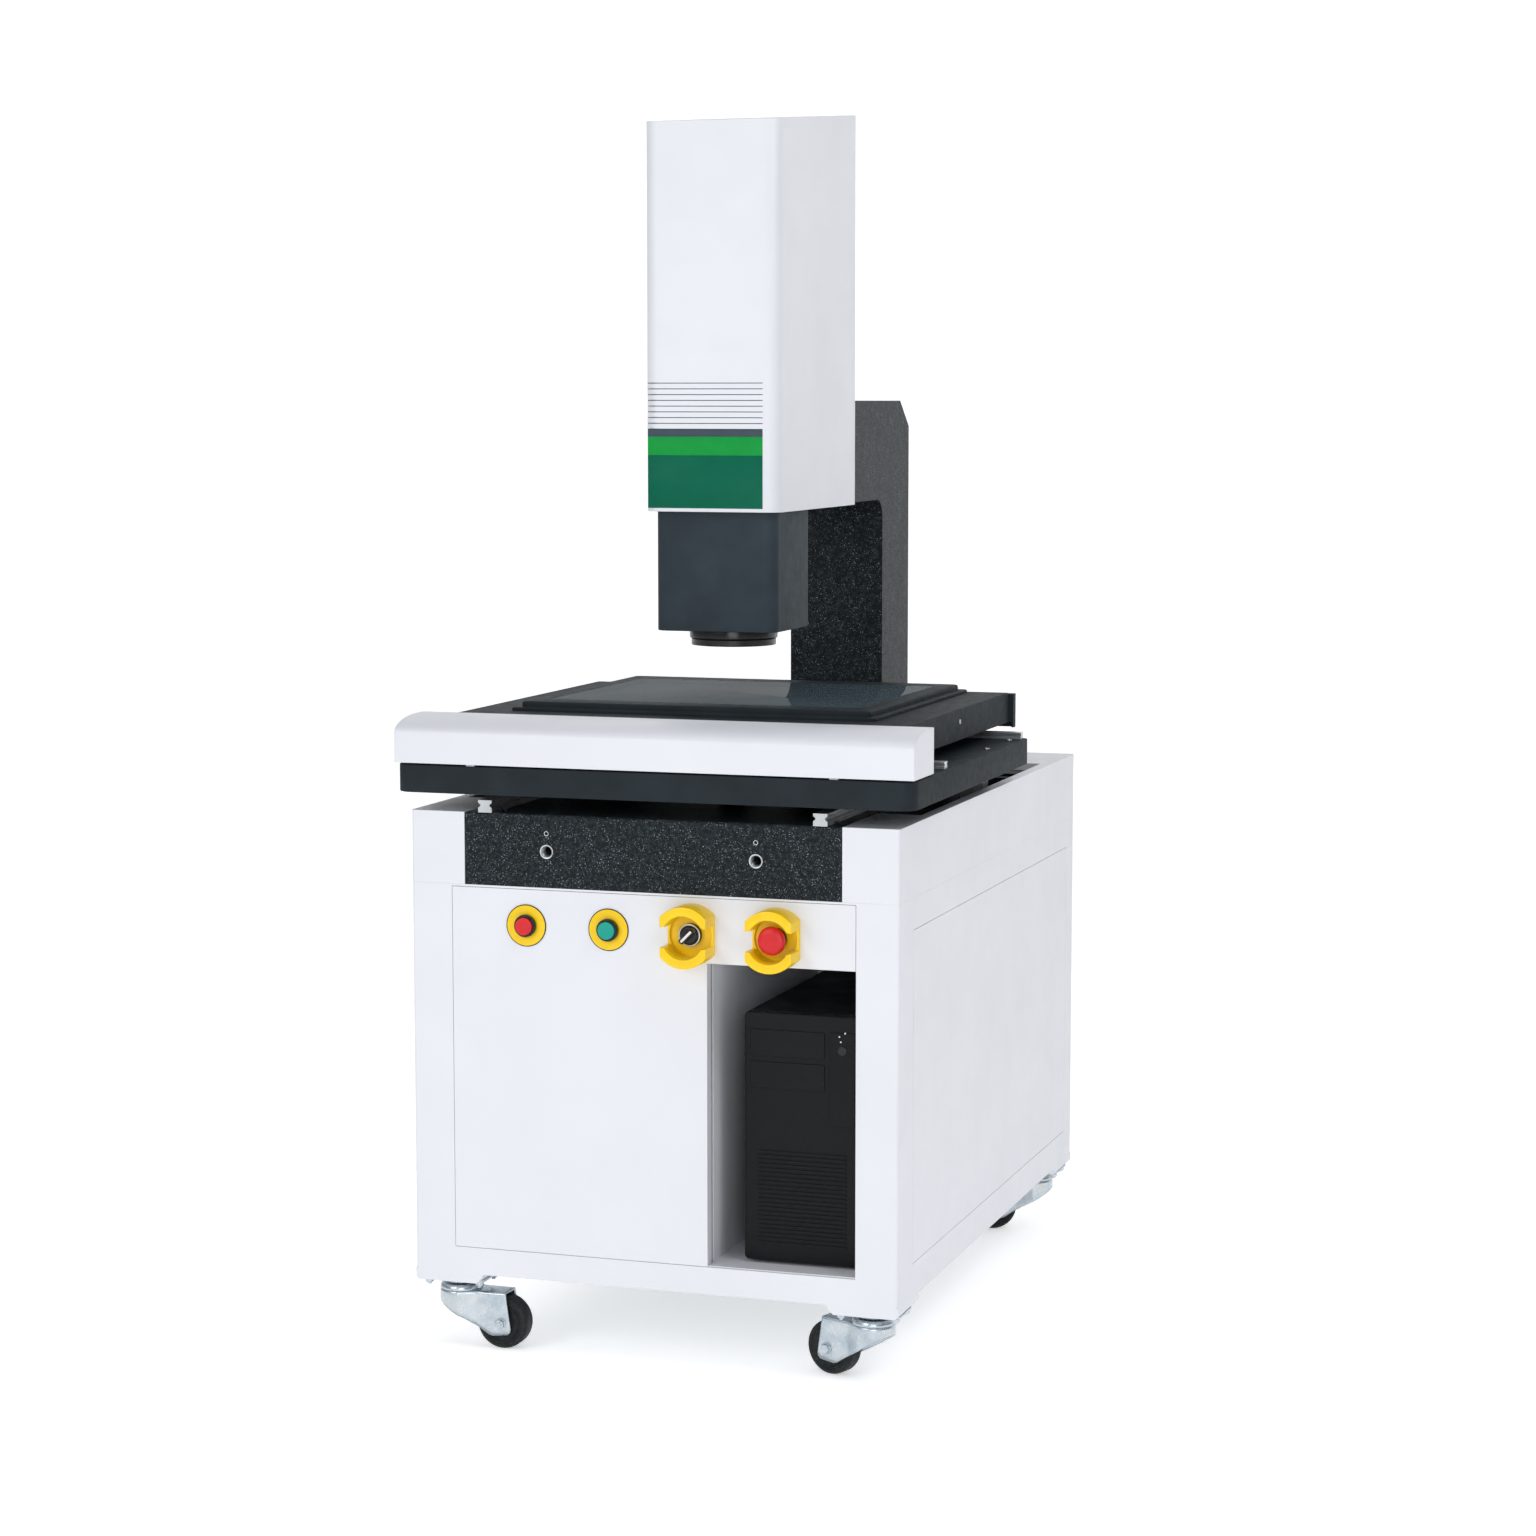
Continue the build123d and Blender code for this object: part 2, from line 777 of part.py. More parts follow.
def y_screw():
    start, end = y_screw_ends()
    return Pos(slot_center, start, y_screw_z) * Rot(-90, 0, 0) * screw(end - start, screw_radius)


def bearing_bore():
    return screw_radius * 0.75 + running_clearance


def y_drive():
    """Motor and two bearing blocks, bolted to the granite's right side in the surround's slot."""
    start, end = y_screw_ends()
    inner = granite_width / 2
    outer = half_width - slot_flange - 6.0
    low = y_screw_z - motor_size / 2
    pieces = []
    for y in (start, end - support_thickness):
        body = block(inner, outer, y, y + support_thickness, low, y_screw_z + motor_size / 2 - 4)
        pieces.append(body - rod_y(bearing_bore(), y, y + support_thickness, slot_center, y_screw_z))
    drive = Pos(slot_center, end + motor_length + 1, y_screw_z) * Rot(90, 0, 0) * motor()
    shelf = block(inner, slot_center, end + 4, end + motor_length, low - 4, low)
    side = block(inner, slot_center - motor_size / 2, end + 4, end + motor_length, low, y_screw_z + 10)
    pieces += [drive, shelf + side]
    return pieces


def y_nut_bracket():
    """Drops from the saddle into the slot and holds the ball nut."""
    y = stage_y + y_carriage_pitch / 2 + nut_setback
    x0, x1 = slot_center - nut_block_half, slot_center + nut_block_half
    half = nut_length / 2
    body = block(x0, x1, y - half + 8, y + half - 8, y_screw_z - nut_block_half, saddle_bottom)
    body += rod_y(nut_radius, y - half, y + half, slot_center, y_screw_z)
    return body - rod_y(screw_radius + running_clearance, y - half, y + half, slot_center, y_screw_z)


def x_screw_ends():
    start = -saddle_width / 2 + motor_length + 4.0
    return start, saddle_width / 2 - 29.0


def x_screw():
    start, end = x_screw_ends()
    return Pos(start, x_screw_y, x_screw_z) * Rot(0, 90, 0) * screw(end - start, screw_radius)


def x_drive():
    """Motor and two bearing blocks on the back face of the saddle, under the table's overhang."""
    start, end = x_screw_ends()
    back = x_screw_y + motor_size / 2 - 1
    low = x_screw_z - motor_size / 2
    high = saddle_top - 1.0
    pieces = []
    for x in (start, end - support_thickness):
        body = block(x, x + support_thickness, saddle_back, back, low, high)
        pieces.append(body - rod_x(bearing_bore(), x, x + support_thickness, x_screw_y, x_screw_z))
    drive = Pos(start - 1 - motor_length, x_screw_y, x_screw_z) * Rot(0, 90, 0) * motor()
    foot_plate = block(start - motor_length, start - 8, saddle_back, x_screw_y - motor_size / 2, low, high)
    pieces += [drive, foot_plate]
    return pieces


def x_nut_bracket():
    """Hangs from the back of the table and holds the cross screw's ball nut."""
    deep = x_screw_y - saddle_back - 5.0
    half = nut_length / 2
    low = x_screw_z - nut_block_half + 1
    body = block(-half + 6, half - 6, x_screw_y - deep, x_screw_y + deep - 2, low, table_bottom)
    body += rod_x(nut_radius, -half, half, x_screw_y, x_screw_z)
    return body - rod_x(screw_radius + running_clearance, -half, half, x_screw_y, x_screw_z)


def z_screw():
    start = z_rail_bottom
    return Pos(0, z_screw_y, start) * screw(z_base_top + 6.0 - start, screw_radius)


def z_drive():
    """Bearing block at the foot of the screw, and the motor on its bracket at the top."""
    half = z_foot_width / 2
    foot_top = z_rail_bottom + support_thickness
    foot_block = block(-half, half, z_screw_y - 11, z_base_front, z_rail_bottom, foot_top)
    foot_block -= rod_z(bearing_bore(), z_rail_bottom, foot_top, 0, z_screw_y)
    half = z_bracket_width / 2
    bracket_top = z_base_top + z_bracket_thickness
    bracket = block(-half, half, z_screw_y - motor_size / 2 - 2, arm_front, z_base_top, bracket_top)
    bracket -= rod_z(bearing_bore(), z_base_top, bracket_top, 0, z_screw_y)
    drive = Pos(0, z_screw_y, bracket_top + motor_length) * Rot(180, 0, 0) * motor()
    return [foot_block, bracket, drive]


# Stage

def saddle():
    """The black lower plate, with rounded corners and a slot that clears the lamp tube."""
    half = saddle_width / 2
    plate = along_z(rect(-half, half, saddle_front, saddle_back), saddle_bottom, saddle_top)
    front_edges = plate.edges().filter_by(Axis.Z).group_by(Axis.Y)[0]
    plate = fillet(front_edges, saddle_corner)
    rear_edges = plate.edges().filter_by(Axis.Z).group_by(Axis.Y)[-1]
    plate = fillet(rear_edges, saddle_corner / 3)
    plate = chamfer(plate.faces().sort_by(Axis.Z)[0].edges(), 1.5)
    clear = lamp_radius + lamp_clearance
    low = lens_y - y_travel_back - clear
    high = lens_y + y_travel_front + clear
    return plate - block(-clear, clear, low, high, saddle_bottom, saddle_top, clear - 1)


def bar_profile(inset, low):
    """Front bar section: flat face, long round shoulder, flat top and flat back, as (y, z)."""
    face = saddle_front + inset
    back = saddle_front + bar_depth - inset
    high = saddle_top + bar_gap + bar_height - inset
    deep = bar_curve_depth - inset
    tall = bar_curve_height - inset / 2
    shoulder = EllipticalCenterArc((face + deep, high - tall), deep, tall, 90, arc_size=90)
    sides = Polyline((face + deep, high), (back, high), (back, low), (face, low), (face, high - tall))
    return make_face(Curve() + [shoulder, sides])


def front_bar():
    """The white bar that hides the front of the cross guides: hollow, open below, on two ribs."""
    half = saddle_width / 2
    low = saddle_top + bar_gap
    bar = along_x(bar_profile(0, low), -half, half)
    bar -= along_x(bar_profile(bar_wall, low), -half + bar_wall, half - bar_wall)
    for x_sign in (-1, 1):
        x = x_sign * half * 0.7
        bar += along_x(bar_profile(bar_wall, saddle_top), x - 6, x + 6)
    return bar


def x_table():
    """The upper plate: an open casting with a window for the light under the glass."""
    half = table_width / 2
    plate = block(-half, half, table_front, table_back, table_bottom, table_top)
    plate = chamfer(plate.edges().filter_by(Axis.Z), 3.0)
    plate = chamfer(plate.faces().sort_by(Axis.Z)[-1].edges(), 1.2)
    low, high = stage_y - window_depth / 2, stage_y + window_depth / 2
    plate -= block(-window_half, window_half, low, high, table_bottom, table_top)
    rib = 14.0
    for sign in (-1, 1):
        outer = sign * (half - rib)
        inner = sign * (window_half + rib)
        x0, x1 = sorted((outer, inner))
        plate -= block(x0, x1, low + 10, high - 10, table_bottom, table_top - rib)
    return plate


def table_end_plate():
    """A folded cover along the table's back edge, over the cross drive."""
    half = end_plate_width / 2
    high = table_top - 2.0
    low = high - end_plate_height
    back = table_back + end_plate_depth
    sheet = end_plate_sheet
    cover = block(-half, half, table_back, back, low, high)
    cover = fillet(cover.edges().filter_by(Axis.Z).group_by(Axis.Y)[-1], sheet)
    inner = half - sheet
    cover -= block(-inner, inner, table_back, back - sheet, low, high - sheet)
    return cover + block(-inner, inner, table_back, table_back + sheet, table_bottom, high)


def glass_frame():
    """The black stepped frame that the stage glass lies in."""
    low_half, low_deep = bezel_width / 2, bezel_depth / 2
    mid = table_top + bezel_step
    lower = block(-low_half, low_half, stage_y - low_deep, stage_y + low_deep, table_top, mid, 6.0)
    lower = chamfer(lower.faces().sort_by(Axis.Z)[-1].edges(), bezel_step * 0.4)
    top_half, top_deep = low_half - bezel_inset, low_deep - bezel_inset
    upper = block(-top_half, top_half, stage_y - top_deep, stage_y + top_deep, mid, bezel_top, 5.0)
    upper = chamfer(upper.faces().sort_by(Axis.Z)[-1].edges(), bezel_rise * 0.4, bezel_rise * 0.5)
    frame = lower + upper
    half, deep = window_half, window_depth / 2
    frame -= block(-half, half, stage_y - deep, stage_y + deep, table_top, bezel_top)
    half = glass_width / 2 + guide_clearance
    deep = glass_depth / 2 + guide_clearance
    return frame - block(-half, half, stage_y - deep, stage_y + deep, glass_bottom, bezel_top)


def stage_glass():
    half, deep = glass_width / 2, glass_depth / 2
    return block(-half, half, stage_y - deep, stage_y + deep, glass_bottom, bezel_top)


def backlight():
    """The lamp tube that stands on the granite under the lens, on a thicker foot."""
    r = lamp_radius
    foot_top = granite_top + lamp_foot
    neck = r - 3
    low, high = granite_top, lamp_top
    points = [(0, low), (r, low), (r, foot_top), (neck, foot_top), (neck, high), (0, high)]
    return revolved(points, Pos(0, lens_y, 0))


# Measuring head

def head_profile(inset, low):
    """Side view of the head cover, whose top rises to the back, drawn as (y, z)."""
    face = lens_y - head_front + inset
    back = lens_y + head_back - inset
    high = head_bottom + head_height - inset
    return outline((face, low), (back, low), (back, high + head_rise), (face, high))


def head_plan(inset):
    """Plan of the head cover, with large front corners."""
    half = head_width / 2 - inset
    plan = rect(-half, half, lens_y - head_front + inset, lens_y + head_back - inset)
    plan = fillet(plan.vertices().group_by(Axis.Y)[0], head_corner - inset)
    return fillet(plan.vertices().group_by(Axis.Y)[-1], head_rear_corner - inset)


def head_cover():
    half = head_width / 2
    top = head_bottom + head_height + head_rise
    sheet = head_sheet
    shell = along_z(head_plan(0), head_bottom, top) & along_x(head_profile(0, head_bottom), -half, half)
    shell = chamfer(shell.faces().sort_by(Axis.Z)[-1].edges(), sheet * 0.75)
    inner = along_x(head_profile(sheet, head_bottom), -half, half)
    shell -= along_z(head_plan(sheet), head_bottom, top) & inner
    reach = column_width / 2 + arm_clearance
    back = lens_y + head_back
    return shell - block(-reach, reach, back - 2 * sheet, back, head_bottom, column_top + arm_clearance)


def z_base_plate():
    """The plate on the arm's front that carries the guides and the head cover."""
    half = column_width / 2
    plate = block(-half, half, z_base_front, arm_front, z_base_bottom, z_base_top)
    reach = head_width / 2 - head_sheet
    tall = head_tab_height
    for x_sign in (-1, 1):
        for z in (z_base_bottom + head_tab_margin, z_base_top - head_tab_margin - tall):
            x0, x1 = sorted((x_sign * half, x_sign * reach))
            plate += block(x0, x1, arm_front - 4.0, arm_front, z, z + tall)
            x2, x3 = sorted((x_sign * (reach - 4.0), x_sign * reach))
            plate += block(x2, x3, arm_front - tall, arm_front, z, z + tall)
    return plate


def z_carriage():
    """Moving bracket: guide plate, shelf with its lens clamp bore, and two gussets."""
    top = shelf_top + carriage_height
    half = carriage_plate_width / 2
    shelf_half = lens_cover_width / 2 - 2.0
    shelf_front = lens_y - lens_cover_depth / 2 + 3.0
    plate = block(-half, half, plate_front, plate_back, shelf_bottom, top)
    plate += block(-shelf_half, shelf_half, shelf_front, plate_front, shelf_bottom, shelf_top)
    ridge = top - gusset_drop
    nose = lens_y - 20
    gusset = outline(
        (plate_front, shelf_top), (plate_front, ridge), (plate_front - 20, ridge), (nose, shelf_top + 12),
        (nose, shelf_top),
    )
    for x_sign in (-1, 1):
        x = x_sign * (half - 5.0)
        plate += along_x(gusset, x - 5, x + 5)
    plate -= rod_z(lens_radius - 3 + running_clearance, shelf_bottom, shelf_top, 0, lens_y)
    low = shelf_top + z_nut_rise
    high = low + nut_length
    plate += block(-nut_block_half, nut_block_half, plate_back, z_screw_y + 11, low, high)
    return plate - rod_z(screw_radius + running_clearance, low, high, 0, z_screw_y)


def z_carriages():
    pieces = []
    shape = carriage_profile(z_carriage_width, z_guide_height, z_rail_width, z_rail_height)
    for sign in (-1, 1):
        profile = Pos(sign * (column_width / 2 - z_rail_inset), z_base_front) * Rot(0, 0, 180) * shape
        for z in (shelf_top + 10, shelf_top + carriage_height - 10 - z_carriage_length):
            pieces.append(along_z(profile, z, z + z_carriage_length))
    return pieces


def lens_cover():
    """The black box round the lens: open at the top, with a hole for the lens below."""
    half, deep = lens_cover_width / 2, lens_cover_depth / 2
    sheet = lens_cover_sheet
    r = lens_cover_corner
    floor = cover_bottom + sheet
    cover = block(-half, half, lens_y - deep, lens_y + deep, cover_bottom, shelf_bottom, r)
    half -= sheet
    deep -= sheet
    cover -= block(-half, half, lens_y - deep, lens_y + deep, floor, shelf_bottom, r - sheet)
    return cover - rod_z(ring_bore, cover_bottom, floor, 0, lens_y)


def ring_light():
    """The lamp ring under the cover, with a stepped rim and a coned inner face."""
    r = ring_radius
    b = ring_bore
    rim = r - 2.5
    low, high = ring_bottom, cover_bottom
    points = [(b, high), (b, high - 8), (r - 12, low), (rim, low), (rim, low + 9), (r, low + 10), (r, high)]
    return revolved(points, Pos(0, lens_y, 0))


def zoom_lens():
    """The zoom lens barrel, stepped where its focus and zoom rings are."""
    tail, mid = lens_tail_radius, lens_radius
    neck = lens_radius - 3
    low = cover_bottom - lens_drop
    first = low + lens_tail_length
    body = first + lens_step
    last = body + lens_body_length
    top = shelf_top + camera_gap
    points = [
        (0, low), (tail, low), (tail, first), (mid, body), (mid, last), (neck, last + lens_step), (neck, top),
        (0, top),
    ]
    return revolved(points, Pos(0, lens_y, 0))


def camera():
    half = camera_size / 2
    low = shelf_top + camera_gap
    base = low + camera_collar
    top = base + camera_height
    body = block(-half, half, lens_y - half, lens_y + half, base, top)
    body += rod_z(half - 5, low, base, 0, lens_y)
    return body + rod_z(6.0, top, top + 12, 0, lens_y)


# Switches on the front panel

def legend_plates():
    """Two round legend plates under the push buttons."""
    pieces = []
    for x in switch_x[:2]:
        plate = rod_y(legend_radius, front - legend_thickness, front, x, switch_z)
        pieces.append(plate - rod_y(plate_hole, front - legend_thickness, front, x, switch_z))
    return pieces


def guard_outline():
    flat = rect(-guard_flat / 2, guard_flat / 2, -guard_radius, guard_radius)
    return Circle(guard_radius) & flat


def switch_guards():
    """Two yellow shrouds: a floor, a wall cut off flat at both sides, and a window in each flat."""
    pieces = []
    for x in switch_x[2:]:
        face = front - guard_depth
        shroud = along_y(Pos(x, switch_z) * guard_outline(), face, front)
        shroud -= rod_y(guard_bore / 2, face, front - guard_wall, x, switch_z)
        half = guard_window / 2
        window = rect(x - guard_flat, x + guard_flat, switch_z - half, switch_z + half)
        shroud -= along_y(window, face, front - guard_wall * 2.5)
        shroud -= rod_y(plate_hole, face, front, x, switch_z)
        pieces.append(shroud)
    return pieces


def ring_face(index):
    """The front face of a switch's ring, which stands on its legend plate or its guard's floor."""
    floor = legend_thickness if index < 2 else guard_wall
    return front - floor - bezel_ring_height


def switch_bodies():
    """The four switch housings: a ring in front of the panel and a contact block behind it."""
    pieces = []
    back = front + panel_flange + 8.0
    for index, x in enumerate(switch_x):
        face = ring_face(index)
        body = rod_y(bezel_ring_radius, face, face + bezel_ring_height, x, switch_z)
        shank = Pos(x, switch_z) * RegularPolygon(switch_hole, 12)
        body += along_y(shank, face + bezel_ring_height, back)
        wide, tall = contact_width / 2, contact_height / 2
        body += block(x - wide, x + wide, back, back + contact_depth, switch_z - tall, switch_z + tall)
        if index < 2:
            cup = button_rim + button_travel + guide_clearance
            body -= rod_y(button_radius + guide_clearance, face, face + cup, x, switch_z)
        pieces.append(body - rod_y(stem_radius + running_clearance, face, face + stem_depth + 3, x, switch_z))
    return pieces


def push_button(index):
    """A flat cap with a stem behind it, standing a little proud of its ring."""
    x = switch_x[index]
    face = ring_face(index)
    cap = rod_y(button_radius, face - button_proud, face + button_rim, x, switch_z)
    cap = chamfer(cap.faces().sort_by(Axis.Y)[0].edges(), 1.0)
    return cap + rod_y(stem_radius, face + button_rim, face + stem_depth - button_travel, x, switch_z)


def selector_knob():
    """A round black knob with a lever across it, turned to the right-hand position."""
    skirt = rod_y(knob_radius, -guide_clearance - 5, -guide_clearance, 0, 0)
    lever = along_y(RectangleRounded(8.0, 2 * knob_radius, 3.0), -knob_height, -guide_clearance - 5)
    stem = rod_y(stem_radius, -guide_clearance, stem_depth, 0, 0)
    return Pos(switch_x[2], ring_face(2), switch_z) * Rot(0, 45, 0) * (skirt + lever + stem)


def estop_cap_back():
    """Where the back of the mushroom head lies when it is pulled out."""
    return ring_face(3) - estop_proud + mushroom_height


def estop_plunger():
    start = estop_cap_back() - estop_socket
    return rod_y(stem_radius, start, ring_face(3) + stem_depth - estop_travel, switch_x[3], switch_z)


def estop_cap():
    """The mushroom head, turned from a rounded profile, with a bore that sits on its plunger."""
    r, h = mushroom_radius, mushroom_height
    bore = stem_radius + running_clearance
    socket = estop_socket + guide_clearance
    half = outline(
        (0, h), (r * 0.55, h * 0.97), (r * 0.87, h * 0.8), (r, h * 0.5), (r - 3, 0), (bore, 0),
        (bore, socket), (0, socket),
    )
    head = revolve(Plane.XZ * half, Axis.Z)
    return Pos(switch_x[3], estop_cap_back(), switch_z) * Rot(90, 0, 0) * head


def write_all():
    os.makedirs("parts", exist_ok=True)
    save("cabinet_frame", cabinet_frame())
    save("front_panel", front_panel())
    save("left_side_panel", side_panel(-1))
    save("right_side_panel", side_panel(1))
    save("rear_panel", rear_panel())
    save("power_inlet", power_inlet())
    save("cabinet_floor", cabinet_floor())
    save("computer_bay", computer_bay())
    save("granite_supports", *granite_supports())
    save("computer_case", *computer_case())
    save("computer_front", computer_front())
    tops = []
    for corner in caster_yaw:
        place, turn = caster_frame(corner)
        tops.append(caster_top(place))
        save("caster_fork_" + corner, place * turn * fork(), place * turn * axle_bolt())
        save("caster_wheel_" + corner, place * turn * wheel())
    save("caster_tops", *tops)
    save("granite_base", granite_base())
    save("granite_inserts", *granite_inserts())
    save("granite_column", granite_column())
    save("left_surround", surround(-1))
    save("right_surround", surround(1))
    save("y_rails", *y_rails())
    save("y_carriages", *y_carriages())
    save("y_drive", *y_drive())
    save("y_screw", y_screw())
    save("y_nut_bracket", y_nut_bracket())
    save("saddle", saddle())
    save("front_bar", front_bar())
    save("x_rails", *x_rails())
    save("x_carriages", *x_carriages())
    save("x_drive", *x_drive())
    save("x_screw", x_screw())
    save("x_nut_bracket", x_nut_bracket())
    save("x_table", x_table())
    save("table_end_plate", table_end_plate())
    save("glass_frame", glass_frame())
    save("stage_glass", stage_glass())
    save("backlight", backlight())
    save("head_cover", head_cover())
    save("z_base_plate", z_base_plate())
    save("z_rails", *z_rails())
    save("z_carriage", z_carriage(), *z_carriages())
    save("z_drive", *z_drive())
    save("z_screw", z_screw())
    save("lens_cover", lens_cover())
    save("ring_light", ring_light())
    save("zoom_lens", zoom_lens())
    save("camera", camera())
    save("legend_plates", *legend_plates())
    save("switch_guards", *switch_guards())
    save("switch_bodies", *switch_bodies())
    save("power_off_button", push_button(0))
    save("power_on_button", push_button(1))
    save("selector_knob", selector_knob())
    save("estop_plunger", estop_plunger())
    save("estop_cap", estop_cap())


write_all()
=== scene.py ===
"""Finishes, turned and pressed parts, floor, lights and camera for a vision measuring machine."""

import json
import math
from collections import namedtuple

import bmesh
import bpy
import numpy as np
from mathutils import Matrix, Vector


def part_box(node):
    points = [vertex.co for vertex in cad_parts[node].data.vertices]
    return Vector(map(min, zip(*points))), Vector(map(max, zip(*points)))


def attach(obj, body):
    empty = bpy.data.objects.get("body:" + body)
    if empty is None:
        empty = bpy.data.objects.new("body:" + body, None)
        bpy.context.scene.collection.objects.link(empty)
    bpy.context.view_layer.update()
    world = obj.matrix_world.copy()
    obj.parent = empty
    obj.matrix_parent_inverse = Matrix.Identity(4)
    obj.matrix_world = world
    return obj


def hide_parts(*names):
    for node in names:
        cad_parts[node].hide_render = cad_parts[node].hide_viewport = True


bl_info = {
    "name": "Vision measuring machine",
    "version": (1, 0, 0),
    "blender": (4, 5, 0),
    "location": "View3D > Sidebar > Machine",
    "description": "Builds the visible parts and finishes of a floor-standing vision measuring machine",
    "category": "Object",
}

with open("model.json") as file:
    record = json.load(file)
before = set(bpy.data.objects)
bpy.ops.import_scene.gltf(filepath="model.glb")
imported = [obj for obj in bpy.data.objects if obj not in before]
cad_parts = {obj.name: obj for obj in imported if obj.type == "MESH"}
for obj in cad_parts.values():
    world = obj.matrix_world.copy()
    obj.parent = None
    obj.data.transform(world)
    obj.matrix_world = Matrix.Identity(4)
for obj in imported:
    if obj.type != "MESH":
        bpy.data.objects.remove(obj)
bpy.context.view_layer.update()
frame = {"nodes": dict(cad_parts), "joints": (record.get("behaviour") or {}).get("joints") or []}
MM = 0.001
# Axis and upward direction of a shape that points to the machine's front, and of one that points to its rear
FORWARD = ((0, -1, 0), (0, 0, 1))
BACKWARD = ((0, 1, 0), (0, 0, 1))
# The ring light's bore is 60 mm wide in a housing of 126 mm
RING_BORE_SHARE = 30 / 63


def linear(code):
    """Turns an sRGB hex value into linear red, green, blue and an alpha of one."""
    value = np.array([int(code[i : i + 2], 16) for i in (1, 3, 5)]) / 255
    low = value / 12.92
    high = ((value + 0.055) / 1.055) ** 2.4
    return (*np.where(value <= 0.04045, low, high).tolist(), 1.0)


def colour(name, code, text):
    return bpy.props.FloatVectorProperty(
        name=name, description=text, subtype="COLOR", size=4, min=0, max=1, default=linear(code)
    )


def length(name, millimetres, text):
    size = millimetres * MM
    return bpy.props.FloatProperty(name=name, description=text, unit="LENGTH", min=0, default=size)


class MachineColours(bpy.types.PropertyGroup):
    enamel: colour("Enamel", "#E0E2E8", "White powder coat of the cabinet, head and bar")
    granite: colour("Granite", "#1A1F22", "Ground mass of the black granite")
    anodised: colour("Anodised plates", "#262C30", "Black anodised saddle, table and glass frame")
    legend: colour("Legend and guards", "#F6CC12", "Yellow plastic of the legend plates and guards")
    stop: colour("Stop button", "#D41E26", "Red plastic of the stop and power-off buttons")
    start: colour("Start button", "#009C8C", "Blue-green plastic of the power-on button")
    band_dark: colour("Dark band", "#00634A", "Lowest printed band on the head")
    band_light: colour("Light band", "#14973F", "Second printed band on the head")
    band_slate: colour("Slate band", "#43505A", "Third printed band and the thin lines")
    floor: colour("Floor", "#FFFFFF", "Studio floor and backdrop")


class MachineSizes(bpy.types.PropertyGroup):
    head_rise: length("Head rise", 32, "How much higher the head is at its back than at its front")
    head_corner: length("Head corner", 22, "Radius of the head's two front corners")
    head_rear_corner: length("Head rear corner", 6, "Radius of the head's two rear corners")
    head_sheet: length("Head sheet", 2, "Thickness of the head's sheet")
    notch_gap: length("Notch gap", 1, "Gap between the head cover and the granite arm")
    cover_corner: length("Lens cover corner", 20, "Radius of the lens cover's corners")
    bar_curve_depth: length("Bar shoulder depth", 75, "Depth of the front bar's long round shoulder")
    bar_curve_height: length("Bar shoulder height", 21, "Height of the front bar's round shoulder")
    saddle_corner: length("Saddle corner", 24, "Radius of the saddle's front corners")
    fork_sheet: length("Fork sheet", 3, "Thickness of the casters' pressed forks")
    race_radius: length("Fork race", 30, "Radius of the domed race on each caster fork")
    edge: length("Broken edge", 1.2, "Radius of the soft edges on sheet and plates")
    studio: length("Studio", 9000, "Half width of the studio floor")


def colours():
    return bpy.context.scene.machine_colours


def sizes():
    return bpy.context.scene.machine_sizes


# Surfaces


def rounded(half_x, half_y, radii, steps=9):
    """Outline of a rounded rectangle, counter-clockwise from its +X +Y corner.

    Corner k is a quarter circle: centre (sx(hx - r), sy(hy - r)) plus r(cos a, sin a), where a runs over
    quarter k.
    """
    radius = np.broadcast_to(np.asarray(radii, float), 4)[:, None]
    angle = (np.arange(4)[:, None] + np.linspace(0, 1, steps)) * np.pi / 2
    sign_x = np.array([1, -1, -1, 1])[:, None]
    sign_y = np.array([1, 1, -1, -1])[:, None]
    x = sign_x * (half_x - radius) + radius * np.cos(angle)
    y = sign_y * (half_y - radius) + radius * np.sin(angle)
    return np.stack([x, y], -1).reshape(-1, 2)


def eased(corners, reach, steps=5, closed=True):
    """Softens the corners of an outline.

    Corner C becomes the parabola (1-s)^2 A + 2s(1-s) C + s^2 B, with A and B the reach before and after it.
    """
    corner = np.asarray(corners, float)
    limit = np.broadcast_to(np.asarray(reach, float), len(corner)).copy()
    if not closed:
        limit[[0, -1]] = 0
    before = np.roll(corner, 1, 0) - corner
    after = np.roll(corner, -1, 0) - corner
    size_before = np.linalg.norm(before, axis=1)
    size_after = np.linalg.norm(after, axis=1)
    limit = np.minimum(limit, np.minimum(size_before, size_after) / 2)[:, None]
    a = corner + before / size_before[:, None] * limit
    b = corner + after / size_after[:, None] * limit
    s = np.linspace(0, 1, steps)[None, :, None]
    curve = (1 - s) ** 2 * a[:, None] + 2 * s * (1 - s) * corner[:, None] + s**2 * b[:, None]
    return curve.reshape(-1, 2)


def basis(axis, across=(0, 0, 1)):
    """Rows u, v, w of right-handed unit vectors: w lies on the axis, v as near to `across` as it can."""
    w = np.asarray(axis, float) / np.linalg.norm(axis)
    v = np.asarray(across, float) - np.dot(across, w) * w
    if np.linalg.norm(v) < 1e-6:
        other = np.roll(w, 1)
        v = other - np.dot(other, w) * w
    v = v / np.linalg.norm(v)
    return np.stack([np.cross(v, w), v, w])


def stand(points, origin, axis=(0, 0, 1), across=(0, 1, 0)):
    """Carries points from their own frame to the machine's: origin + x u + y v + z w."""
    return np.asarray(points) @ basis(axis, across) + np.asarray(origin, float)


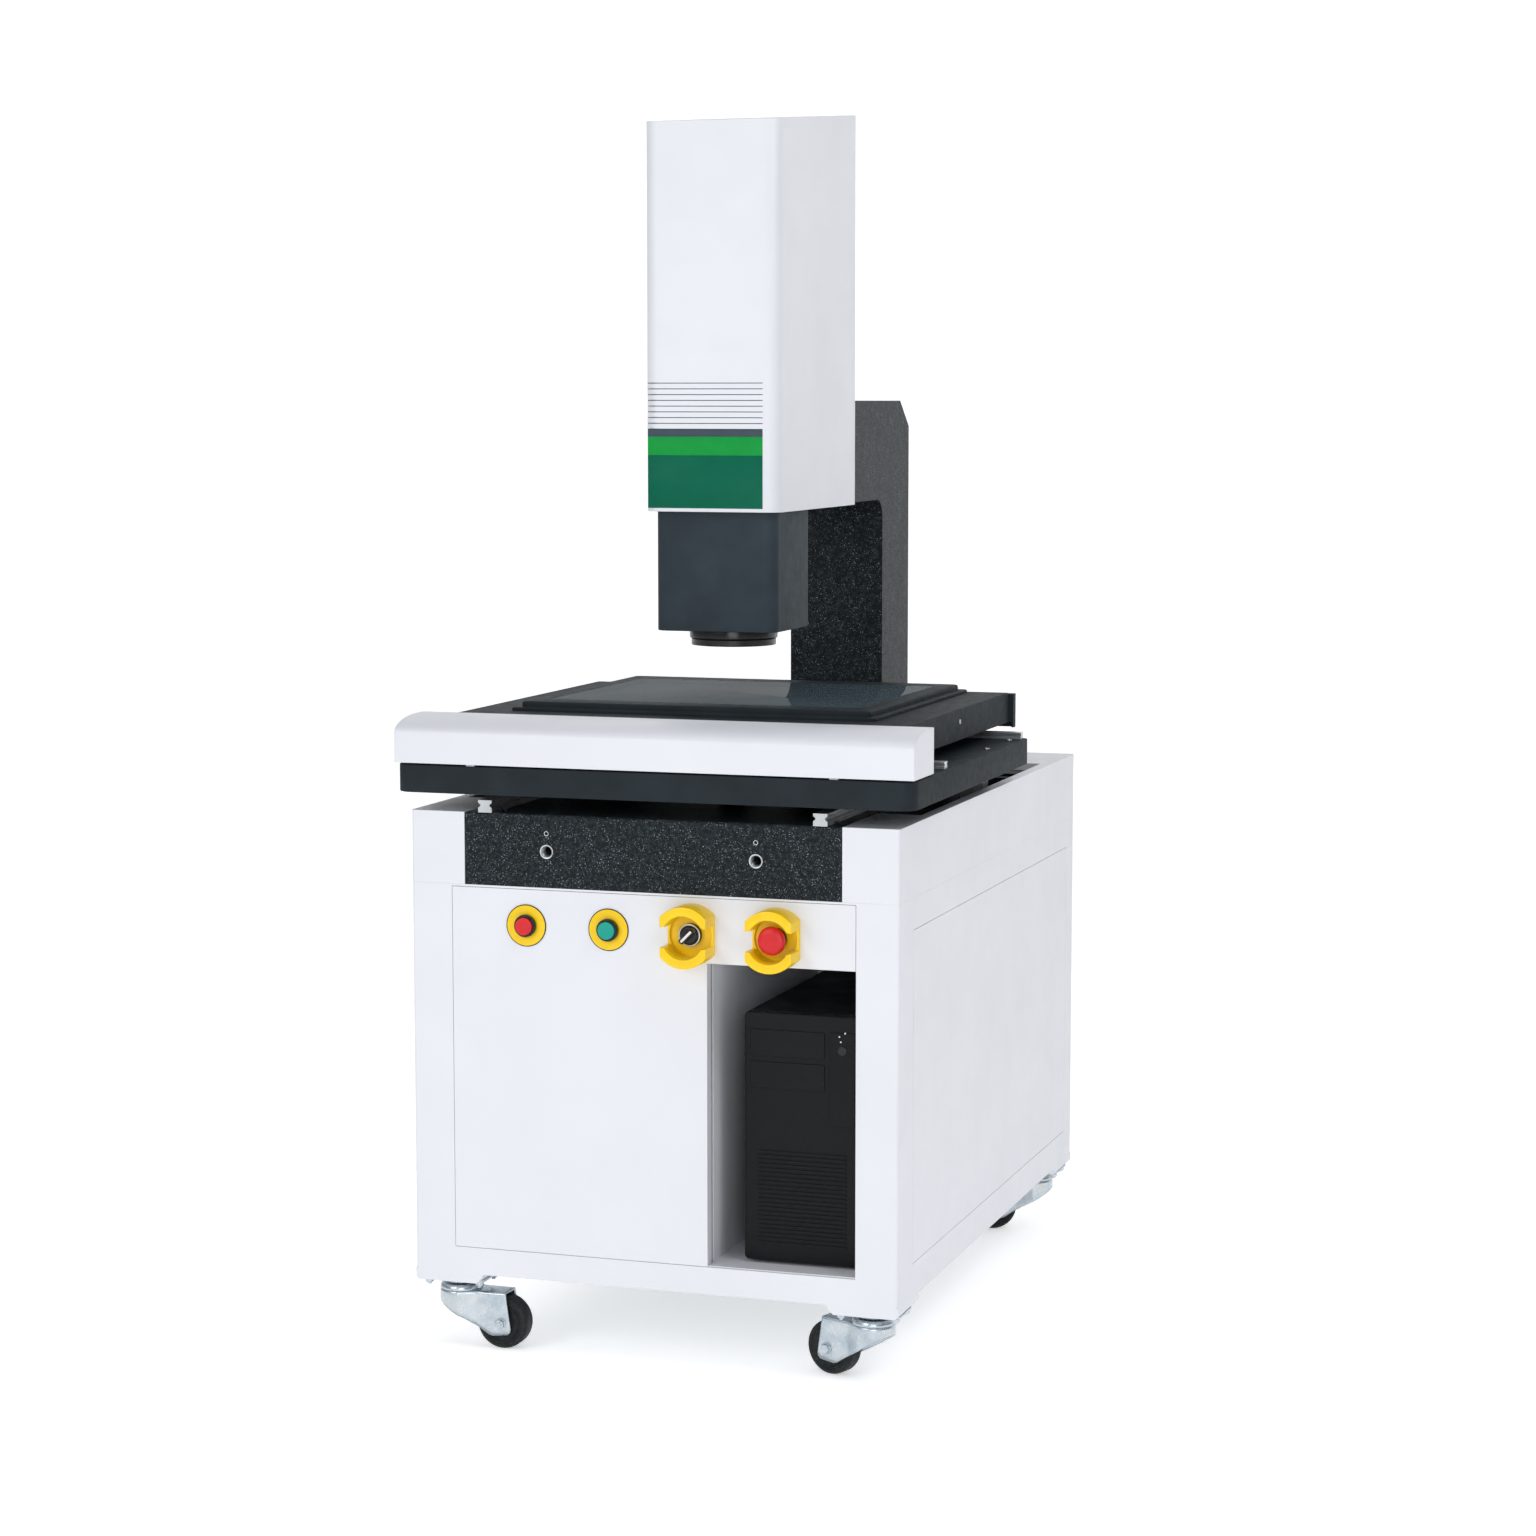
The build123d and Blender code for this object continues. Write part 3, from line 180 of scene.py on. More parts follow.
def soft_edges(low, high, edge):
    """Inset and height of each row of a plate whose lower and upper edges are quarter circles.

    Over t from 0 to a right angle the lower edge has inset e(1 - sin t) and height e(1 - cos t). At the upper
    edge the two change places, and the height counts down from the top.
    """
    t = np.linspace(0, np.pi / 2, 4)
    inset = np.concatenate([edge * (1 - np.sin(t)), edge * (1 - np.cos(t))])
    height = np.concatenate([low + edge * (1 - np.cos(t)), high - edge * (1 - np.sin(t))])
    return inset, height


def stacked(loops, heights):
    """Rows of one plan outline after another, each at its own height."""
    loops = np.asarray(loops, float)
    z = np.broadcast_to(np.asarray(heights, float)[:, None, None], (*loops.shape[:2], 1))
    return np.concatenate([loops, z], -1)


def slab(half_x, half_y, radii, low, high, edge, steps=9):
    """A plate with soft upper and lower edges and rounded corners."""
    inset, height = soft_edges(low, high, edge)
    least = 0.01 * MM
    loops = [rounded(half_x - i, half_y - i, np.maximum(np.asarray(radii) - i, least), steps) for i in inset]
    return patch(stacked(loops, height), caps=(True, True))


def patch(grid, wrap=(False, True), caps=(False, False)):
    """Points and faces of a grid: quads between neighbouring rows and columns, one face over an end row."""
    rows, cols = grid.shape[:2]
    i = np.arange(rows if wrap[0] else rows - 1)[:, None]
    j = np.arange(cols if wrap[1] else cols - 1)[None, :]
    i2, j2 = (i + 1) % rows, (j + 1) % cols
    faces = np.stack([i * cols + j, i * cols + j2, i2 * cols + j2, i2 * cols + j], -1).reshape(-1, 4).tolist()
    if caps[0]:
        faces.append(list(range(cols))[::-1])
    if caps[1]:
        faces.append(list(range((rows - 1) * cols, rows * cols)))
    return grid.reshape(-1, 3), faces


def moved(shape, origin, axis=(0, 0, 1), across=(0, 1, 0)):
    """Stands a patch on a place, turned so that its Z runs along the axis."""
    points, faces = shape
    return stand(points, origin, axis, across), faces


def turned(profile, turns, closed=False):
    """Surface of revolution about Z: (r cos a, r sin a, h) for each (r, h) of the profile and angle a."""
    profile = np.asarray(profile, float)
    a = np.arange(turns) * 2 * np.pi / turns
    r, h = profile[:, :1], profile[:, 1:]
    return patch(np.stack([r * np.cos(a), r * np.sin(a), h + 0 * a], -1), wrap=(closed, True))


def lathed(corners, ease, steps, turns, closed=False):
    """A turned part: the corners of its section, in millimetres, are eased before it is spun about Z."""
    return turned(eased(corners, ease, steps, closed) * MM, turns, closed)


def add_piece(name, shapes, key, body, nodes=(), sharp=32.0):
    """One mesh object from patches in the machine's frame, with the finish of that key.

    Doubles are merged, faces point outwards, and edges up to the given angle in degrees are smooth.
    """
    material = finish[key]
    points, faces, start = [], [], 0
    for some_points, some_faces in shapes:
        points.append(some_points)
        faces += [[index + start for index in face] for face in some_faces]
        start += len(some_points)
    mesh = bpy.data.meshes.new(name)
    mesh.from_pydata(np.concatenate(points).tolist(), [], faces)
    tidy = bmesh.new()
    tidy.from_mesh(mesh)
    bmesh.ops.remove_doubles(tidy, verts=tidy.verts, dist=4e-6)
    bmesh.ops.dissolve_degenerate(tidy, dist=1e-7, edges=tidy.edges)
    bmesh.ops.recalc_face_normals(tidy, faces=tidy.faces)
    tidy.to_mesh(mesh)
    tidy.free()
    mesh.polygons.foreach_set("use_smooth", np.ones(len(mesh.polygons), bool))
    mesh.set_sharp_from_angle(angle=math.radians(sharp))
    mesh.materials.append(material)
    piece = bpy.data.objects.new(name, mesh)
    bpy.context.scene.collection.objects.link(piece)
    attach(piece, body)
    if nodes:
        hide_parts(*nodes)
    return piece


Place = namedtuple("Place", "low high middle")


def place_of(node):
    """Lowest corner, highest corner and middle of a CAD node, as arrays in metres."""
    low, high = (np.array(corner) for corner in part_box(node))
    return Place(low, high, (low + high) / 2)


def half_plan(place):
    """Half width and half depth of a place, seen from above."""
    return (place.high - place.low)[:2] / 2


def joint(name):
    return next(entry for entry in frame["joints"] if entry["name"] == name)


# Finishes

finish = {}


def add_node(tree, kind, values, links=()):
    """Adds a node, sets its sockets or options by name or number, and links inputs from outputs."""
    node = tree.nodes.new(kind)
    for key, value in values.items():
        if isinstance(key, int) or key in node.inputs:
            node.inputs[key].default_value = value
        else:
            setattr(node, key, value)
    for key, output in dict(links).items():
        tree.links.new(output, node.inputs[key])
    return node


def start_finish(name, specular=0.5):
    """A new material with an empty Principled shader, and Object coordinates to read patterns from."""
    material = bpy.data.materials.new(name)
    material.use_nodes = True
    tree = material.node_tree
    shader = tree.nodes["Principled BSDF"]
    shader.inputs["Specular IOR Level"].default_value = specular
    place = tree.nodes.new("ShaderNodeTexCoord").outputs["Object"]
    return material, tree, shader, place


def shaded(base, share):
    """The same colour, darker or lighter by a factor."""
    return (*(part * share for part in base[:3]), 1.0)


def mottle(tree, shader, place, colour_a, colour_b, grain_mm, low=0.35, high=0.65, detail=3.0):
    """Base colour that drifts between two colours in patches of the given size."""
    grain = {"Scale": 1000 / grain_mm, "Detail": detail}
    noise = add_node(tree, "ShaderNodeTexNoise", grain, {"Vector": place})
    ramp = add_node(tree, "ShaderNodeMapRange", {1: low, 2: high}, {"Value": noise.outputs["Fac"]})
    both = {"data_type": "RGBA", 6: colour_a, 7: colour_b}
    mix = add_node(tree, "ShaderNodeMix", both, {0: ramp.outputs["Result"]})
    tree.links.new(mix.outputs[2], shader.inputs["Base Color"])
    return mix


def vary_roughness(tree, shader, place, low, high, grain_mm):
    """Roughness that drifts between two values in patches of the given size."""
    grain = {"Scale": 1000 / grain_mm, "Detail": 4.0}
    noise = add_node(tree, "ShaderNodeTexNoise", grain, {"Vector": place})
    span = {1: 0.3, 2: 0.7, 3: low, 4: high}
    ramp = add_node(tree, "ShaderNodeMapRange", span, {"Value": noise.outputs["Fac"]})
    tree.links.new(ramp.outputs["Result"], shader.inputs["Roughness"])


def relief(tree, shader, place, grain_mm, depth_mm, strength=1.0, edge_mm=0.0):
    """Fine relief from a noise of the given grain, over edges that look broken by the given radius."""
    grain = {"Scale": 1000 / grain_mm, "Detail": 2.0}
    noise = add_node(tree, "ShaderNodeTexNoise", grain, {"Vector": place})
    depth = {"Strength": strength, "Distance": depth_mm * MM}
    bump = add_node(tree, "ShaderNodeBump", depth, {"Height": noise.outputs["Fac"]})
    if edge_mm:
        bevel = add_node(tree, "ShaderNodeBevel", {"samples": 6, "Radius": edge_mm * MM})
        tree.links.new(bevel.outputs["Normal"], bump.inputs["Normal"])
    tree.links.new(bump.outputs["Normal"], shader.inputs["Normal"])


def powder_coat(name, base, edge_mm=1.0, gloss=0.36, specular=0.5):
    """Polyester powder coat on sheet steel: even, satin, with the slight ripple of orange peel."""
    material, tree, shader, place = start_finish(name, specular)
    mottle(tree, shader, place, base, shaded(base, 0.965), 160, 0.3, 0.7)
    vary_roughness(tree, shader, place, gloss, gloss + 0.1, 40)
    # Orange peel is about 1 mm across on the real coat and is drawn at 2.5 mm, so that it shows
    relief(tree, shader, place, 2.5, 0.05, 0.35, edge_mm)
    return material


def lapped_granite(name, base):
    """Black gabbro, ground and lapped: dark crystals with pale feldspar flecks of 1 to 3 mm."""
    # Cells for each metre: flecks of 1.8 mm, the clumps of 17 mm that they lie in, and crystals of 4 mm
    flecks, clumps, crystals = 560.0, 60.0, 260.0
    material, tree, shader, place = start_finish(name, 0.08)
    ground = mottle(tree, shader, place, base, linear("#353D42"), 6, 0.45, 0.8, 4.0)
    grain = add_node(tree, "ShaderNodeTexNoise", {"Scale": flecks, "Detail": 1.0}, {"Vector": place})
    clump = add_node(tree, "ShaderNodeTexNoise", {"Scale": clumps, "Detail": 2.0}, {"Vector": place})
    both = add_node(
        tree, "ShaderNodeMath", {"operation": "MULTIPLY_ADD", 1: 0.2},
        {0: clump.outputs["Fac"], 2: grain.outputs["Fac"]},
    )
    fleck = add_node(tree, "ShaderNodeMapRange", {1: 0.74, 2: 0.86}, {"Value": both.outputs[0]})
    flecked = add_node(
        tree, "ShaderNodeMix", {"data_type": "RGBA", 7: linear("#8C979D")},
        {0: fleck.outputs["Result"], 6: ground.outputs[2]},
    )
    # Only the middles of the crystals with the palest random colour show, as bright points
    crystal = add_node(tree, "ShaderNodeTexVoronoi", {"Scale": crystals}, {"Vector": place})
    sparse = add_node(tree, "ShaderNodeMapRange", {1: 0.16, 2: 0.1}, {"Value": crystal.outputs["Distance"]})
    bright = {"operation": "GREATER_THAN", 1: 0.9}
    chosen = add_node(tree, "ShaderNodeMath", bright, {0: crystal.outputs["Color"]})
    shown = add_node(
        tree, "ShaderNodeMath", {"operation": "MULTIPLY"}, {0: sparse.outputs["Result"], 1: chosen.outputs[0]}
    )
    starred = add_node(
        tree, "ShaderNodeMix", {"data_type": "RGBA", 7: linear("#C3CCD0")},
        {0: shown.outputs[0], 6: flecked.outputs[2]},
    )
    tree.links.new(starred.outputs[2], shader.inputs["Base Color"])
    vary_roughness(tree, shader, place, 0.36, 0.48, 4)
    relief(tree, shader, place, 1.5, 0.02, 0.3, 1.2)
    return material


def anodised(name, slot, base, gloss=0.5, edge_mm=0.8):
    """Milled aluminium, blasted and black anodised: a fine silky grain with soft highlights."""
    material, tree, shader, place = start_finish(name, 0.05)
    mottle(tree, shader, place, base, shaded(base, 1.25), 60, 0.35, 0.7)
    vary_roughness(tree, shader, place, gloss, gloss + 0.1, 12)
    # Blasted grain is 0.1 mm on the real plate and is drawn at 0.8 mm, so that it shows
    relief(tree, shader, place, 0.8, 0.03, 0.4, edge_mm)
    return material


def steel(name, code, low, high, grain_mm=8.0, edge_mm=0.5):
    """Bare or plated steel: metallic, with roughness that drifts as handling and grinding leave it."""
    material, tree, shader, place = start_finish(name)
    base = linear(code)
    mottle(tree, shader, place, base, shaded(base, 0.86), 30)
    vary_roughness(tree, shader, place, low, high, grain_mm)
    shader.inputs["Metallic"].default_value = 1.0
    relief(tree, shader, place, 4.0, 0.01, 0.12, edge_mm)
    return material


def blue_zinc(name):
    """Pressed steel, bright zinc plated with a blue passivate: pale metal with bluish and straw tints."""
    material, tree, shader, place = start_finish(name)
    tint = mottle(tree, shader, place, linear("#C4CBD0"), linear("#AEBBC4"), 24, 0.4, 0.68, 2.0)
    # Cells for each metre, so that the straw-coloured patches are 22 mm across
    straw_patches = 45.0
    straw = add_node(tree, "ShaderNodeTexNoise", {"Scale": straw_patches, "Detail": 1.0}, {"Vector": place})
    span = {1: 0.58, 2: 0.75, 3: 0.0, 4: 0.2}
    amount = add_node(tree, "ShaderNodeMapRange", span, {"Value": straw.outputs["Fac"]})
    tinted = add_node(
        tree, "ShaderNodeMix", {"data_type": "RGBA", 7: linear("#D8CDB6")},
        {0: amount.outputs["Result"], 6: tint.outputs[2]},
    )
    tree.links.new(tinted.outputs[2], shader.inputs["Base Color"])
    vary_roughness(tree, shader, place, 0.22, 0.38, 6)
    shader.inputs["Metallic"].default_value = 1.0
    relief(tree, shader, place, 2.0, 0.03, 0.3, 0.5)
    return material


def moulded(name, slot, base, low, high, spark_mm=0.0, specular=0.35):
    """Injection-moulded plastic: even colour, with the fine spark texture of the tool where it has one."""
    material, tree, shader, place = start_finish(name, specular)
    mottle(tree, shader, place, base, shaded(base, 0.93), 25)
    vary_roughness(tree, shader, place, low, high, 5)
    shader.inputs["IOR"].default_value = 1.53
    relief(tree, shader, place, spark_mm or 3.0, 0.04 if spark_mm else 0.01, 0.35, 0.4)
    return material


def rubber(name, code):
    """Moulded rubber tread: near black, dull, with a little dust in its grain."""
    material, tree, shader, place = start_finish(name, 0.2)
    mottle(tree, shader, place, linear(code), linear("#2C3031"), 7, 0.4, 0.75, 5.0)
    vary_roughness(tree, shader, place, 0.5, 0.68, 4)
    relief(tree, shader, place, 1.0, 0.05, 0.4)
    return material


def plate_glass(name):
    """Polished plate glass, coated against glare and half clear to what lies below; its grey-blue colour is
    partly the glass's own slight tint and partly a painted reflection of the column.
    """
    material, tree, shader, place = start_finish(name, 0.0)
    # Painted reflection: the grey-blue base colour, drifting in 300 mm patches, stands in for the column and
    # room mirrored in the glass, over a slight real tint
    mottle(tree, shader, place, linear("#586870"), linear("#4E5D65"), 300)
    vary_roughness(tree, shader, place, 0.05, 0.08, 60)
    shader.inputs["Coat Weight"].default_value = 0.22
    shader.inputs["Coat Roughness"].default_value = 0.02
    shader.inputs["Alpha"].default_value = 0.62
    return material


def make_finishes():
    tint = colours()
    white = tuple(tint.enamel)
    # Printed film is satin and shines less than moulded plastic
    film = {"low": 0.4, "high": 0.5, "specular": 0.1}
    lens_black, paint, switch_black = linear("#333C42"), linear("#15181A"), linear("#16181A")
    return {
        "enamel": powder_coat("powder_coated_sheet_white", white),
        "frame": powder_coat("powder_coated_frame_white", white),
        "galvanised": steel("galvanised_sheet", "#A7ADB1", 0.35, 0.55, 20),
        "granite": lapped_granite("lapped_black_granite", tuple(tint.granite)),
        "anodised": anodised("black_anodised_aluminium", "black_anodised", tuple(tint.anodised)),
        "cover": anodised("black_satin_lens_cover", "black_anodised", lens_black, gloss=0.42),
        "black": powder_coat("powder_coated_black", paint, 0.6, gloss=0.48, specular=0.1),
        "rail": steel("ground_bearing_steel", "#C9CDD0", 0.3, 0.4),
        "zinc": blue_zinc("blue_zinc_plated_steel"),
        "aluminium": steel("machined_aluminium", "#CFD2D4", 0.3, 0.42, 3),
        "rubber": rubber("moulded_black_rubber", "#1B1E1F"),
        "glass": plate_glass("plate_glass_painted_reflection"),
        "plastic": moulded("moulded_black_abs", "black_plastic", linear("#121415"), 0.4, 0.55, 0.9, 0.15),
        "gloss_black": moulded("glossy_black_switch", "black_plastic", switch_black, 0.16, 0.26),
        "yellow": moulded("moulded_yellow_plastic", "yellow_plastic", tuple(tint.legend), 0.25, 0.38),
        "red": moulded("moulded_red_cap", "red_plastic", tuple(tint.stop), 0.3, 0.42),
        "green": moulded("moulded_green_cap", "green_plastic", tuple(tint.start), 0.3, 0.42),
        "pointer": moulded("white_pointer_inlay", "black_plastic", linear("#E9EAEC"), 0.3, 0.4),
        "film_dark": moulded("printed_film_dark_green", "green_plastic", tuple(tint.band_dark), **film),
        "film_light": moulded("printed_film_light_green", "green_plastic", tuple(tint.band_light), **film),
        "film_slate": moulded("printed_film_slate", "black_plastic", tuple(tint.band_slate), **film),
        "lamp": moulded("frosted_lamp_lens", "black_plastic", linear("#E4E8EA"), 0.3, 0.4),
    }


CARRIED_OVER = {
    "enamel": ["front_panel", "left_side_panel", "right_side_panel", "rear_panel", "left_surround",
               "right_surround", "computer_bay"],
    "frame": ["cabinet_frame", "granite_supports"],
    "galvanised": ["cabinet_floor"],
    "granite": ["granite_base", "granite_column"],
    "anodised": ["x_table", "table_end_plate"],
    "black": ["computer_case", "y_drive", "x_drive", "z_drive", "zoom_lens", "camera", "backlight"],
    "rail": ["y_rails", "x_rails", "z_rails", "y_carriages", "x_carriages", "y_screw", "x_screw", "z_screw"],
    "aluminium": ["z_base_plate", "z_carriage", "y_nut_bracket", "x_nut_bracket"],
    "plastic": ["power_inlet", "estop_plunger"],
}


class MACHINE_OT_carried_over(bpy.types.Operator):
    """Gives each CAD part that stays as it is the finish of the real one"""

    bl_idname = "machine.carried_over"
    bl_label = "Finish the CAD parts"

    def execute(self, context):
        finish.update(make_finishes())
        for key, nodes in CARRIED_OVER.items():
            for node in nodes:
                mesh = frame["nodes"][node].data
                mesh.materials.clear()
                mesh.materials.append(finish[key])
        return {"FINISHED"}


class MACHINE_OT_head_cover(bpy.types.Operator):
    """Folded head cover with round front corners, a rising top and a notch for the granite arm"""

    bl_idname = "machine.head_cover"
    bl_label = "Head cover"

    def execute(self, context):
        size = sizes()
        place = place_of("head_cover")
        low, high, middle = place
        arm_high = place_of("granite_column").high
        half, deep = half_plan(place)
        notch = arm_high[0] + size.notch_gap
        notch_top = arm_high[2] + size.notch_gap
        sheet, edge = size.head_sheet, size.edge
        # Profile of the sheet: inset from the outline, share of the height, and drop below that height
        profile = np.array([
            (sheet, 1, sheet), (sheet, 0, 0), (0.2 * sheet, 0, 0), (0, 0, -0.3 * sheet),
            (0, 1, edge), (0.3 * edge, 1, 0.3 * edge), (edge, 1, 0),
        ])
        corner = np.array([size.head_rear_corner, size.head_rear_corner, size.head_corner, size.head_corner])
        points = 9
        rows = []
        for inset, share, drop in profile:
            loop = rounded(half - inset, deep - inset, corner - inset, points)
            back = deep - inset
            # Down, across and up again at the notch, in the middle of the rear side
            gate = np.array([(notch, back), (notch, back), (-notch, back), (-notch, back)])
            loop = np.concatenate([loop[:points], gate, loop[points:]])
            top = high[2] - size.head_rise * (deep - loop[:, 1]) / (2 * deep)
            z = low[2] + share * (top - low[2]) - drop
            in_notch = slice(points + 1, points + 3)
            z[in_notch] = np.maximum(z[in_notch], notch_top)
            rows.append(np.column_stack([loop + middle[:2], z]))
        shape = patch(np.array(rows), caps=(True, True))
        add_piece("head_cover_shell", [shape], "enamel", "base", ["head_cover"])
        self.add_bands(low, high)
        return {"FINISHED"}

    def add_bands(self, low, high):
        """Generic printed film: three level bands and a rise of thin lines on the flat front."""
        left, right = low[0] + 7 * MM, high[0] - 23 * MM
        film, corner = 0.15 * MM, 0.4 * MM
        # Levels above the lower edge of the dark, light and slate bands, and of the slate band's end
        dark, light, slate, lines = low[2] + 5 * MM + np.array([0, 74, 100, 110]) * MM
        line_count, line_pitch, line_width = 9, 8 * MM, 1.1 * MM

        def strip(z0, z1):
            plate = slab((right - left) / 2, (z1 - z0) / 2, corner, 0, film, film / 2, 3)
            return moved(plate, ((left + right) / 2, low[1], (z0 + z1) / 2), *FORWARD)

        add_piece("band_dark", [strip(dark, light)], "film_dark", "base")
        add_piece("band_light", [strip(light, slate)], "film_light", "base")
        rise = [strip(z, z + line_width) for z in lines + np.arange(line_count) * line_pitch]
        add_piece("band_slate", [strip(slate, lines), *rise], "film_slate", "base")


class MACHINE_OT_lens_unit(bpy.types.Operator):
    """Lens cover, and the ring light with its lamps"""

    bl_idname = "machine.lens_unit"
    bl_label = "Lens unit"

    def execute(self, context):
        size = sizes()
        place = place_of("lens_cover")
        low, high, middle = place
        half, deep = half_plan(place)
        sheet, edge = 2.5 * MM, 1.2 * MM
        hole = half_plan(place_of("ring_light"))[0] * RING_BORE_SHARE
        r, points = size.cover_corner, 13
        outer = rounded(half, deep, r, points)
        circle = outer / np.linalg.norm(outer, axis=1)[:, None] * hole
        t = np.linspace(0, np.pi / 2, 5)
        loops, heights = [circle, circle], [low[2] + sheet, low[2]]
        for inset, z in zip(edge * (1 - np.sin(t)), low[2] + edge * (1 - np.cos(t))):
            loops.append(rounded(half - inset, deep - inset, r - inset, points))
            heights.append(z)
        inner = rounded(half - sheet, deep - sheet, r - sheet, points)
        loops += [outer, inner, inner]
        heights += [high[2], high[2], low[2] + sheet]
        grid = stacked(loops, heights) + [*middle[:2], 0]
        add_piece("lens_cover_box", [patch(grid, wrap=(True, True))], "cover", "head", ["lens_cover"])
        self.add_ring_light()
        return {"FINISHED"}

    def add_ring_light(self):
        """Housing with a cone inside, and three rows of small lamps on the cone."""
        low, high, middle = place_of("ring_light")
        r = (high - low)[0] / 2
        bore = r * RING_BORE_SHARE
        tall = (high - low)[2]
        # The cone widens from the bore, 8 mm under the top, to a lip 1 mm above the lower face
        cone_top, cone_foot = tall - 8 * MM, 1 * MM
        cone_out = r - 13 * MM
        skirt = r - 2.5 * MM
        corners = [
            (bore, tall), (bore, cone_top), (cone_out, cone_foot), (r - 12 * MM, 0), (skirt, 0),
            (skirt, 9 * MM), (r, 10.5 * MM), (r, tall),
        ]
        ring = turned(eased(corners, 0.9 * MM), 96, closed=True)
        housing = moved(ring, (*middle[:2], low[2]))
        add_piece("ring_light_housing", [housing], "gloss_black", "head", ["ring_light"])
        # The lamps stand square on the cone, aimed at the point under the lens
        slope = np.array([cone_out - bore, cone_foot - cone_top])
        normal = np.array([slope[1], -slope[0]]) / np.linalg.norm(slope)
        dome = turned(np.array([(2.3, -0.4), (2.3, 0.4), (1.8, 1.5), (0.8, 2.1), (0, 2.2)]) * MM, 8)
        lamps = []
        # Share of the way down the cone, number of lamps in the row, and angle of the first
        for share, count, first in ((0.25, 30, 0.0), (0.55, 34, 0.1), (0.85, 38, 0.05)):
            radius = bore + slope[0] * share
            height = cone_top + slope[1] * share
            for a in first + np.arange(count) * 2 * np.pi / count:
                out = np.array([math.cos(a), math.sin(a)])
                spot = (*(middle[:2] + out * radius), low[2] + height)
                lamps.append(moved(dome, spot, (*(out * normal[0]), normal[1])))
        add_piece("ring_light_lamps", lamps, "lamp", "head")


class MACHINE_OT_front_bar(bpy.types.Operator):
    """Hollow white bar with a long round shoulder, across the front of the saddle"""

    bl_idname = "machine.front_bar"
    bl_label = "Front bar"

    def execute(self, context):
        size = sizes()
        low, high, _ = place_of("front_bar")
        saddle_top = place_of("saddle").high[2]
        base = saddle_top + 2.5 * MM
        wall, edge = 4 * MM, 1.2 * MM

        def section(inset):
            """Outline in (y, z): flat face, quarter ellipse, flat top and back, shrunk by the inset."""
            a = np.linspace(np.pi, np.pi / 2, 25)
            deep, tall = size.bar_curve_depth - inset, size.bar_curve_height - inset / 2
            y = low[1] + inset + deep + deep * np.cos(a)
            z = high[2] - inset - tall + tall * np.sin(a)
            back = high[1] - inset
            corners = [(y[-1], z[-1]), (back, z[-1]), (back, base + 1 * MM), (back, base)]
            tail = eased(corners, edge, 4, closed=False)
            return np.concatenate([[(low[1] + inset, base)], np.column_stack([y, z]), tail])

        def at(x, loop):
            """The section's outline as points in the plane of that x."""
            return np.column_stack([np.full(len(loop), x), loop])

        end = high[0]
        insets, places = soft_edges(-end, end, edge)
        outer = np.array([at(x, section(inset)) for inset, x in zip(insets, places)])
        hollow = np.array([at(x, section(wall)) for x in (-end + wall, 0, end - wall)])
        shapes = [patch(outer, wrap=(False, False)), patch(hollow[:, ::-1], wrap=(False, False))]
        shapes += self.closings(outer, hollow)
        rib_place, half_rib = 0.7 * end, 6 * MM
        for x in (-rib_place, rib_place):
            rib = section(wall)
            rib[[0, -1], 1] = saddle_top
            pair = np.array([at(x - half_rib, rib), at(x + half_rib, rib)])
            shapes.append(patch(pair, caps=(True, True)))
        add_piece("front_bar_cover", shapes, "enamel", "saddle", ["front_bar"])
        return {"FINISHED"}

    def closings(self, outer, hollow):
        """End faces of the bar outside and inside, and the narrow rim below between its walls."""
        cols = outer.shape[1]
        shapes = [(rows[end], [list(range(cols))]) for rows in (outer, hollow) for end in (0, -1)]
        # The rim pairs the first four outer rows with one end of the hollow, and the last four with the other
        ends = [0, 0, 0, 0, 2, 2, 2, 2]
        rim_out = np.concatenate([outer[:, 0], outer[::-1, -1]])
        rim_in = np.concatenate([hollow[ends, 0], hollow[ends[::-1], -1]])
        shapes.append(patch(np.array([rim_out, rim_in])))
        return shapes


